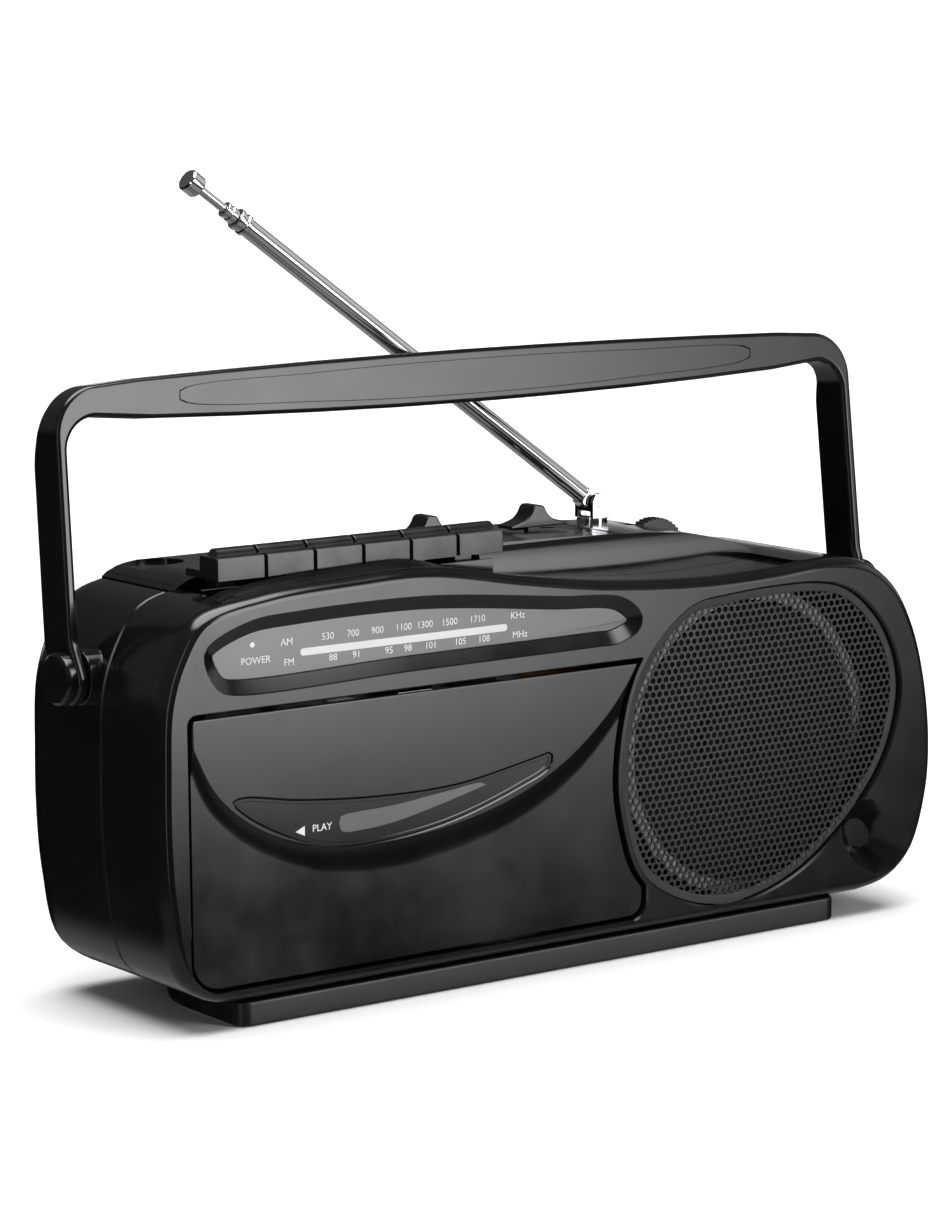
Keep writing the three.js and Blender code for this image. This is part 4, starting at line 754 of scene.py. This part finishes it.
bar_top = [(LEG_OUT / 2 * s, REACH - 0.7 * s * s) for s in (1.6, 1.2, 0.8, 0.4)]
bar_low = [(LEG_IN / 2 * s, REACH - 16.8 + 1.1 * s * s) for s in (0.4, 0.8, 1.2, 1.6)]
right_out = [(LEG_OUT, -8.5), (LEG_OUT, 0)] + corner(LEG_OUT - 16.2, REACH - 17.8, 15, 2, 88) + bar_top
right_in = bar_low + corner(LEG_IN - 11, REACH - 22.2, 10, 88, 2) + [(LEG_IN, 0), (LEG_IN, -8.5)]
bow_line = (right_out + [(0, REACH)] + [(-x, z) for x, z in reversed(right_out)]
            + [(-x, z) for x, z in reversed(right_in)] + [(0, REACH - 16.8)] + right_in)
foot = corner(0, 0, 8.2, 180, 345, 15)
side_line = foot + [(11.6, 10), (11.6, REACH - 26), (11, REACH - 22), (8.4, REACH - 14), (7.2, REACH - 9),
                    (7, REACH + 2), (-3.5, REACH + 2), (-3.5, 12), (-4.6, 8)]
bow = carve(slab(bow_line, -12, 14), [slab(side_line, -LEG_OUT - 2, LEG_OUT + 2, facing=FACING_SIDE)],
            "INTERSECT")
bow = soften(bow, 1.5, 50, 4)
grip_line = smooth_line([(-111, REACH - 9.2), (-60, REACH - 13.2), (0, REACH - 14.4), (60, REACH - 13.2),
                         (111, REACH - 9.2), (111, REACH - 6.4), (60, REACH - 3.6), (0, REACH - 2.8),
                         (-60, REACH - 3.6), (-111, REACH - 6.4)], 140)
bow = carve(bow, [slab(grip_line, -6, -2.6), rod(3.3, (-170, 170), (0, 0), FACING_SIDE, sides=32)])
handle_bow = make("handle_bow", lean(bow), gloss_abs, 30)
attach(handle_bow, "handle")
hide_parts("handle")
grip = make("grip_plate", lean(slab(inset(grip_line, 0.3), -3.5, -2.7, 0.25, 2)), gloss_abs)
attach(grip, "handle")
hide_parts("handle_grip")


def lathe(profile, steps=48):
    """A turned body about Z from (radius, height) pairs that start and end on the axis."""
    bm = bmesh.new()
    verts = [bm.verts.new((r * MM, 0, z * MM)) for r, z in profile]
    edges = [bm.edges.new(pair) for pair in zip(verts, verts[1:])]
    bmesh.ops.spin(bm, geom=verts + edges, cent=(0, 0, 0), axis=(0, 0, 1), angle=2 * math.pi, steps=steps,
                   use_merge=True)
    bmesh.ops.remove_doubles(bm, verts=bm.verts, dist=1e-6)
    bmesh.ops.recalc_face_normals(bm, faces=bm.faces)
    return bm


for side, word in ((-1, "left"), (1, "right")):
    low, high = mm("handle_cap_" + word)
    face = LEG_OUT + 0.3
    cap = lathe([(0, SIDE - 10), (2.7, SIDE - 10), (3, SIDE - 9.6), (3, face), (8, face), (8, face + 1.7),
                 (7.8, face + 2.4), (7.2, face + 2.9), (6.6, face + 3), (5.6, face + 2.6), (3, face + 2.5),
                 (0, face + 2.5)])
    bmesh.ops.transform(cap, matrix=Matrix.Translation((0, PIVOT_Y * MM, PIVOT_Z * MM))
                        @ Matrix.Rotation(side * math.pi / 2, 4, "Y"), verts=cap.verts)
    pivot_cap = make("pivot_cap_" + word, cap, gloss_abs)
    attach(pivot_cap, "handle")
    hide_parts("handle_cap_" + word)

# ---- antenna ------------------------------------------------------------------------------
# Telescopic whip: drawn brass tube, nickelled and bright chromed, each section sliding in the
# last. It folds in a fork on a swivelling post, and ends in a turned cap.
chrome = finish("chrome", "#c9cbce", "#dcdee0", 18, (0.04, 0.09), Metallic=1.0)
FOLD_Z = 135.5
TILT = math.radians(54.3)
TUBE = 168.5


def tilt(bm):
    place = Matrix.Translation((ANTENNA_X * MM, ANTENNA_Y * MM, FOLD_Z * MM)) @ Matrix.Rotation(-TILT, 4, "Y")
    bmesh.ops.transform(bm, matrix=place, verts=bm.verts)
    return bm


outer_tube = lathe([(2.5, 8), (2.5, TUBE), (2.9, TUBE), (3.45, TUBE - 0.3), (3.5, TUBE - 0.8),
                    (3.5, TUBE - 1.6), (3.1, TUBE - 2), (3.1, TUBE - 3), (3.5, TUBE - 3.4),
                    (3.5, TUBE - 4.6), (3, TUBE - 5.1), (3, 6),
                    (2.6, 4.2), (0, 4.0), (0, 8), (2.5, 8)], 40)
eye_block = slab(rounded_box((-3.1, 3.1), (-3.1, 5.5), (3, 3, 1, 1), 8), -2.8, 2.8, 0.3, 2)
pin_hole = rod(1.7, (-5, 5), (0, 0), FACING_FRONT, sides=24)
middle_tube = lathe([(1.7, 14), (1.7, TUBE + 5), (2.1, TUBE + 5), (2.6, TUBE + 4.7), (2.6, TUBE + 3.9),
                     (2.3, TUBE + 3.6), (2.3, TUBE + 2.8), (2.6, TUBE + 2.5), (2.6, TUBE + 0.6),
                     (2.2, TUBE + 0.4),
                     (2.2, 12), (0, 12), (0, 14), (1.7, 14)], 36)
tip_rod = lathe([(0, 26), (1.4, 26), (1.4, TUBE + 15.6), (2.2, TUBE + 16), (3.3, TUBE + 16.1),
                 (3.6, TUBE + 16.6), (3.6, TUBE + 20.6), (3.2, TUBE + 21.1), (2.4, TUBE + 21.3),
                 (0, TUBE + 21.3)], 40)
sections = [
    ("whip_outer", carve(carve(outer_tube, [eye_block], "UNION"), [pin_hole]),
     "antenna_outer", "antenna_outer_tube"),
    ("whip_middle", middle_tube, "antenna_middle", "antenna_middle_tube"),
    ("whip_tip", tip_rod, "antenna_tip", "antenna_tip_rod")]
for name, bm, body, node in sections:
    section = make(name, tilt(bm), chrome, 35)
    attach(section, body)
    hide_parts(node)
post = lathe([(0, 119.8), (5, 119.8), (5, FOLD_Z - 5), (4.6, FOLD_Z - 4.1), (3.6, FOLD_Z - 3.9),
              (0, FOLD_Z - 3.9)])
bmesh.ops.translate(post, vec=(ANTENNA_X * MM, ANTENNA_Y * MM, 0), verts=post.verts)
cheek_line = rounded_box((ANTENNA_X - 3.4, ANTENNA_X + 3.4), (FOLD_Z - 4.8, FOLD_Z + 3.4),
                         (0.2, 0.2, 3.2, 3.2), 8)
cheeks = [slab(cheek_line, ANTENNA_Y + a, ANTENNA_Y + b, 0.3, 2) for a, b in ((-4.9, -3.3), (3.3, 4.9))]
fold_pin = rod(1.4, (ANTENNA_Y - 5.1, ANTENNA_Y + 5.1), (ANTENNA_X, FOLD_Z), FACING_FRONT, 0.3, 24)
fork = make("whip_fork", carve(post, cheeks + [fold_pin], "UNION"), chrome, 35)
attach(fork, "antenna_swivel")
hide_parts("antenna_base")

# ---- back -------------------------------------------------------------------------------
# Battery door with a ribbed thumb catch, moulded mains inlet, headphone socket and the four
# cross-head screws that hold the shells together.
steel = finish("zinc_steel", "#8f9295", "#a4a7aa", 9, (0.28, 0.42), 2.0, 0.01, Metallic=1.0)
battery_line = rounded_box((battery_low[0], battery_high[0]), (battery_low[2], battery_high[2]),
                           (2.4,) * 4, 6)
ribs = [slab(rounded_box((-12, 12), (battery_high[2] - 6.4 - 2.2 * k, battery_high[2] - 5.2 - 2.2 * k),
                         (0.6,) * 4, 3), BACK - 0.7, BACK + 1) for k in range(4)]
battery_panel = slab(battery_line, battery_low[1], battery_high[1], 0.45, 3)
battery_cover = make("battery_cover", carve(battery_panel, ribs), gloss_abs)
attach(battery_cover, "battery_door")
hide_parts("battery_door")
for number, (low, high) in enumerate(screw_boxes, 1):
    cx, cz = (low[0] + high[0]) / 2, (low[2] + high[2]) / 2
    head = lathe([(0, 0), (3.3, 0), (3.3, 0.7), (2.9, 1.1), (2, 1.4), (0, 1.5)], 32)
    bmesh.ops.transform(head, matrix=Matrix.Translation((cx * MM, low[1] * MM, cz * MM))
                        @ Matrix.Rotation(-math.pi / 2, 4, "X"), verts=head.verts)
    cross = [slab(rounded_box((cx - a, cx + a), (cz - b, cz + b), (0.2,) * 4, 2), high[1] - 0.9, high[1] + 1)
             for a, b in ((2.0, 0.45), (0.45, 2.0))]
    screw = make(f"screw_{number}", carve(head, cross), steel, 35)
    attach(screw, "case")
    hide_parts(f"case_screw_{number}")
inlet_line = rounded_box((inlet_low[0], inlet_high[0]), (inlet_low[2], inlet_high[2]), (2.6,) * 4, 6)
inlet_x, inlet_z = (inlet_low[0] + inlet_high[0]) / 2, (inlet_low[2] + inlet_high[2]) / 2
socket = slab(rounded_box((inlet_x - 6.5, inlet_x + 6.5), (inlet_z - 3.9, inlet_z + 3.9), (3.8,) * 4, 8),
              BACK - 9, BACK + 2)
inlet_pins = [rod(1.2, (BACK - 10, BACK - 3), (inlet_x + dx, inlet_z), FACING_FRONT, 0.3, 20)
              for dx in (-3, 3)]
inlet_body = carve(carve(slab(inlet_line, inlet_low[1], inlet_high[1], 0.4, 3), [socket]),
                   inlet_pins, "UNION")
jack_y, jack_z = (jack_low[1] + jack_high[1]) / 2, (jack_low[2] + jack_high[2]) / 2
jack_body = carve(rod(4, (jack_low[0], jack_high[0]), (jack_y, jack_z), FACING_SIDE, 0.5),
                  [rod(1.8, (jack_high[0] - 9, jack_high[0] + 2), (jack_y, jack_z), FACING_SIDE, sides=24)])
for name, bm, node in (("inlet_socket", inlet_body, "mains_inlet"),
                       ("phone_socket", jack_body, "headphone_jack")):
    piece = make(name, bm, satin_abs)
    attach(piece, "case")
    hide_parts(node)

# ---- inner parts --------------------------------------------------------------------------
# Everything behind the door and the back: the tape mechanism on its steel chassis, the
# loudspeaker, boards, battery box and transformer keep their drawn shapes, with real finishes.
paper = finish("cone_paper", "#1c1b19", "#292724", 2.5, (0.8, 0.95), 0.8, 0.12)
rubber = finish("rubber", "#161616", "#202020", 4, (0.7, 0.85), 0.6, 0.03)
phenolic = finish("phenolic_board", "#8a5a26", "#a06c33", 3, (0.45, 0.6), 0.9, 0.02)
brass = finish("turned_brass", "#9a7a3c", "#b8964f", 2, (0.22, 0.35), Metallic=1.0)
red_plastic = finish("red_plastic", "#a81d16", "#c3241c", 6, (0.2, 0.3), 2.0, 0.01)
cream_plastic = finish("cream_plastic", "#d3cfc2", "#e2ded2", 5, (0.35, 0.5), 1.5, 0.02)
card = finish("scale_card", "#808386", "#8d9093", 3, (0.55, 0.7), 0.8, 0.02)
by_slot = {"steel": steel, "chrome": chrome, "paper": paper, "rubber": rubber, "board": phenolic,
           "brass": brass, "red": red_plastic, "white": cream_plastic, "scale_card": card,
           "satin_black": satin_abs, "gloss_black": gloss_abs, "grille_steel": grille_enamel,
           "dial_lens": lens_acrylic}
for entry in frame["record"]["subparts"]:
    drawn = frame["nodes"][entry["node"]]
    drawn.data.materials.clear()
    drawn.data.materials.append(by_slot[entry["material_slot"]])

# ---- studio -----------------------------------------------------------------------------
# A white floor under a large overhead softbox, a tall white card to the right of the camera and a
# thin strip light on the left. A low band behind, a dim card on the right and a faint glow from
# below fill the chrome. The rest is black, which is what gloss black needs.
floor_bm = bmesh.new()
bmesh.ops.create_grid(floor_bm, x_segments=1, y_segments=1, size=30)
floor_paper = finish("floor_paper", "#f6f6f6", "#f9f9f9", 300, (0.8, 0.9))
floor = make("studio_floor", floor_bm, floor_paper)
floor.visible_glossy = False

world = bpy.data.worlds.new("studio_world")
bpy.context.scene.world = world
world.use_nodes = True
sky = world.node_tree
direction = add_node(sky, "ShaderNodeTexCoord").outputs["Generated"]
along = add_node(sky, "ShaderNodeSeparateXYZ", {"Vector": direction}).outputs
front_way = add_node(sky, "ShaderNodeMath", {0: along["Y"], 1: -1.0}, operation="MULTIPLY").outputs["Value"]
bearing = add_node(sky, "ShaderNodeMath", {0: along["X"], 1: front_way}, operation="ARCTAN2").outputs["Value"]
height = add_node(sky, "ShaderNodeMath", {0: along["Z"]}, operation="ARCSINE").outputs["Value"]


def fade(angle, start, end):
    """Rises from 0 to 1 as an angle goes from start to end, in degrees."""
    return add_node(sky, "ShaderNodeMapRange", {"Value": angle, "From Min": math.radians(start),
                                                "From Max": math.radians(end)},
                    interpolation_type="SMOOTHSTEP").outputs["Result"]


def lamp(strength, *edges):
    """One light in the world, as the product of its soft edges."""
    total = strength
    for edge in edges:
        total = add_node(sky, "ShaderNodeMath", {0: total, 1: edge}, operation="MULTIPLY").outputs["Value"]
    return total


lamps = [lamp(6.4, fade(bearing, 17, 27), fade(bearing, 45, 31), fade(height, -12.8, -7.8),
              fade(height, 48, 30)),
         lamp(6.3, fade(height, 56, 68)),
         lamp(2.6, fade(bearing, -58, -55), fade(bearing, -50, -53), fade(height, -25, -5),
              fade(height, 50, 30)),
         lamp(0.3, fade(height, -20, -30)),
         lamp(0.6, fade(bearing, 48, 60), fade(bearing, 112, 100), fade(height, 0, 6), fade(height, 40, 28)),
         lamp(1.1, fade(bearing, 116, 126), fade(height, -1.4, -0.8), fade(height, 3, 1.8)),
         lamp(0.1, fade(height, 0, 6))]
total = lamps[0]
for extra in lamps[1:]:
    total = add_node(sky, "ShaderNodeMath", {0: total, 1: extra}, operation="ADD").outputs["Value"]
sky.nodes["Background"].inputs["Color"].default_value = srgb("#ffffff")
sky.links.new(total, sky.nodes["Background"].inputs["Strength"])

camera_data = bpy.data.cameras.new("camera")
camera_data.lens = 118.5
camera = bpy.data.objects.new("camera", camera_data)
right = Vector((0.80841, -0.58858, -0.00776))
up = Vector((0.09473, 0.11708, 0.98860))
forward = Vector((0.58096, 0.79992, -0.15040))
camera.matrix_world = Matrix((
    (right.x, up.x, -forward.x, -0.740), (right.y, up.y, -forward.y, -1.004),
    (right.z, up.z, -forward.z, 0.299), (0, 0, 0, 1)))
bpy.context.scene.collection.objects.link(camera)
bpy.context.scene.camera = camera
bpy.context.scene.view_settings.view_transform = "Standard"
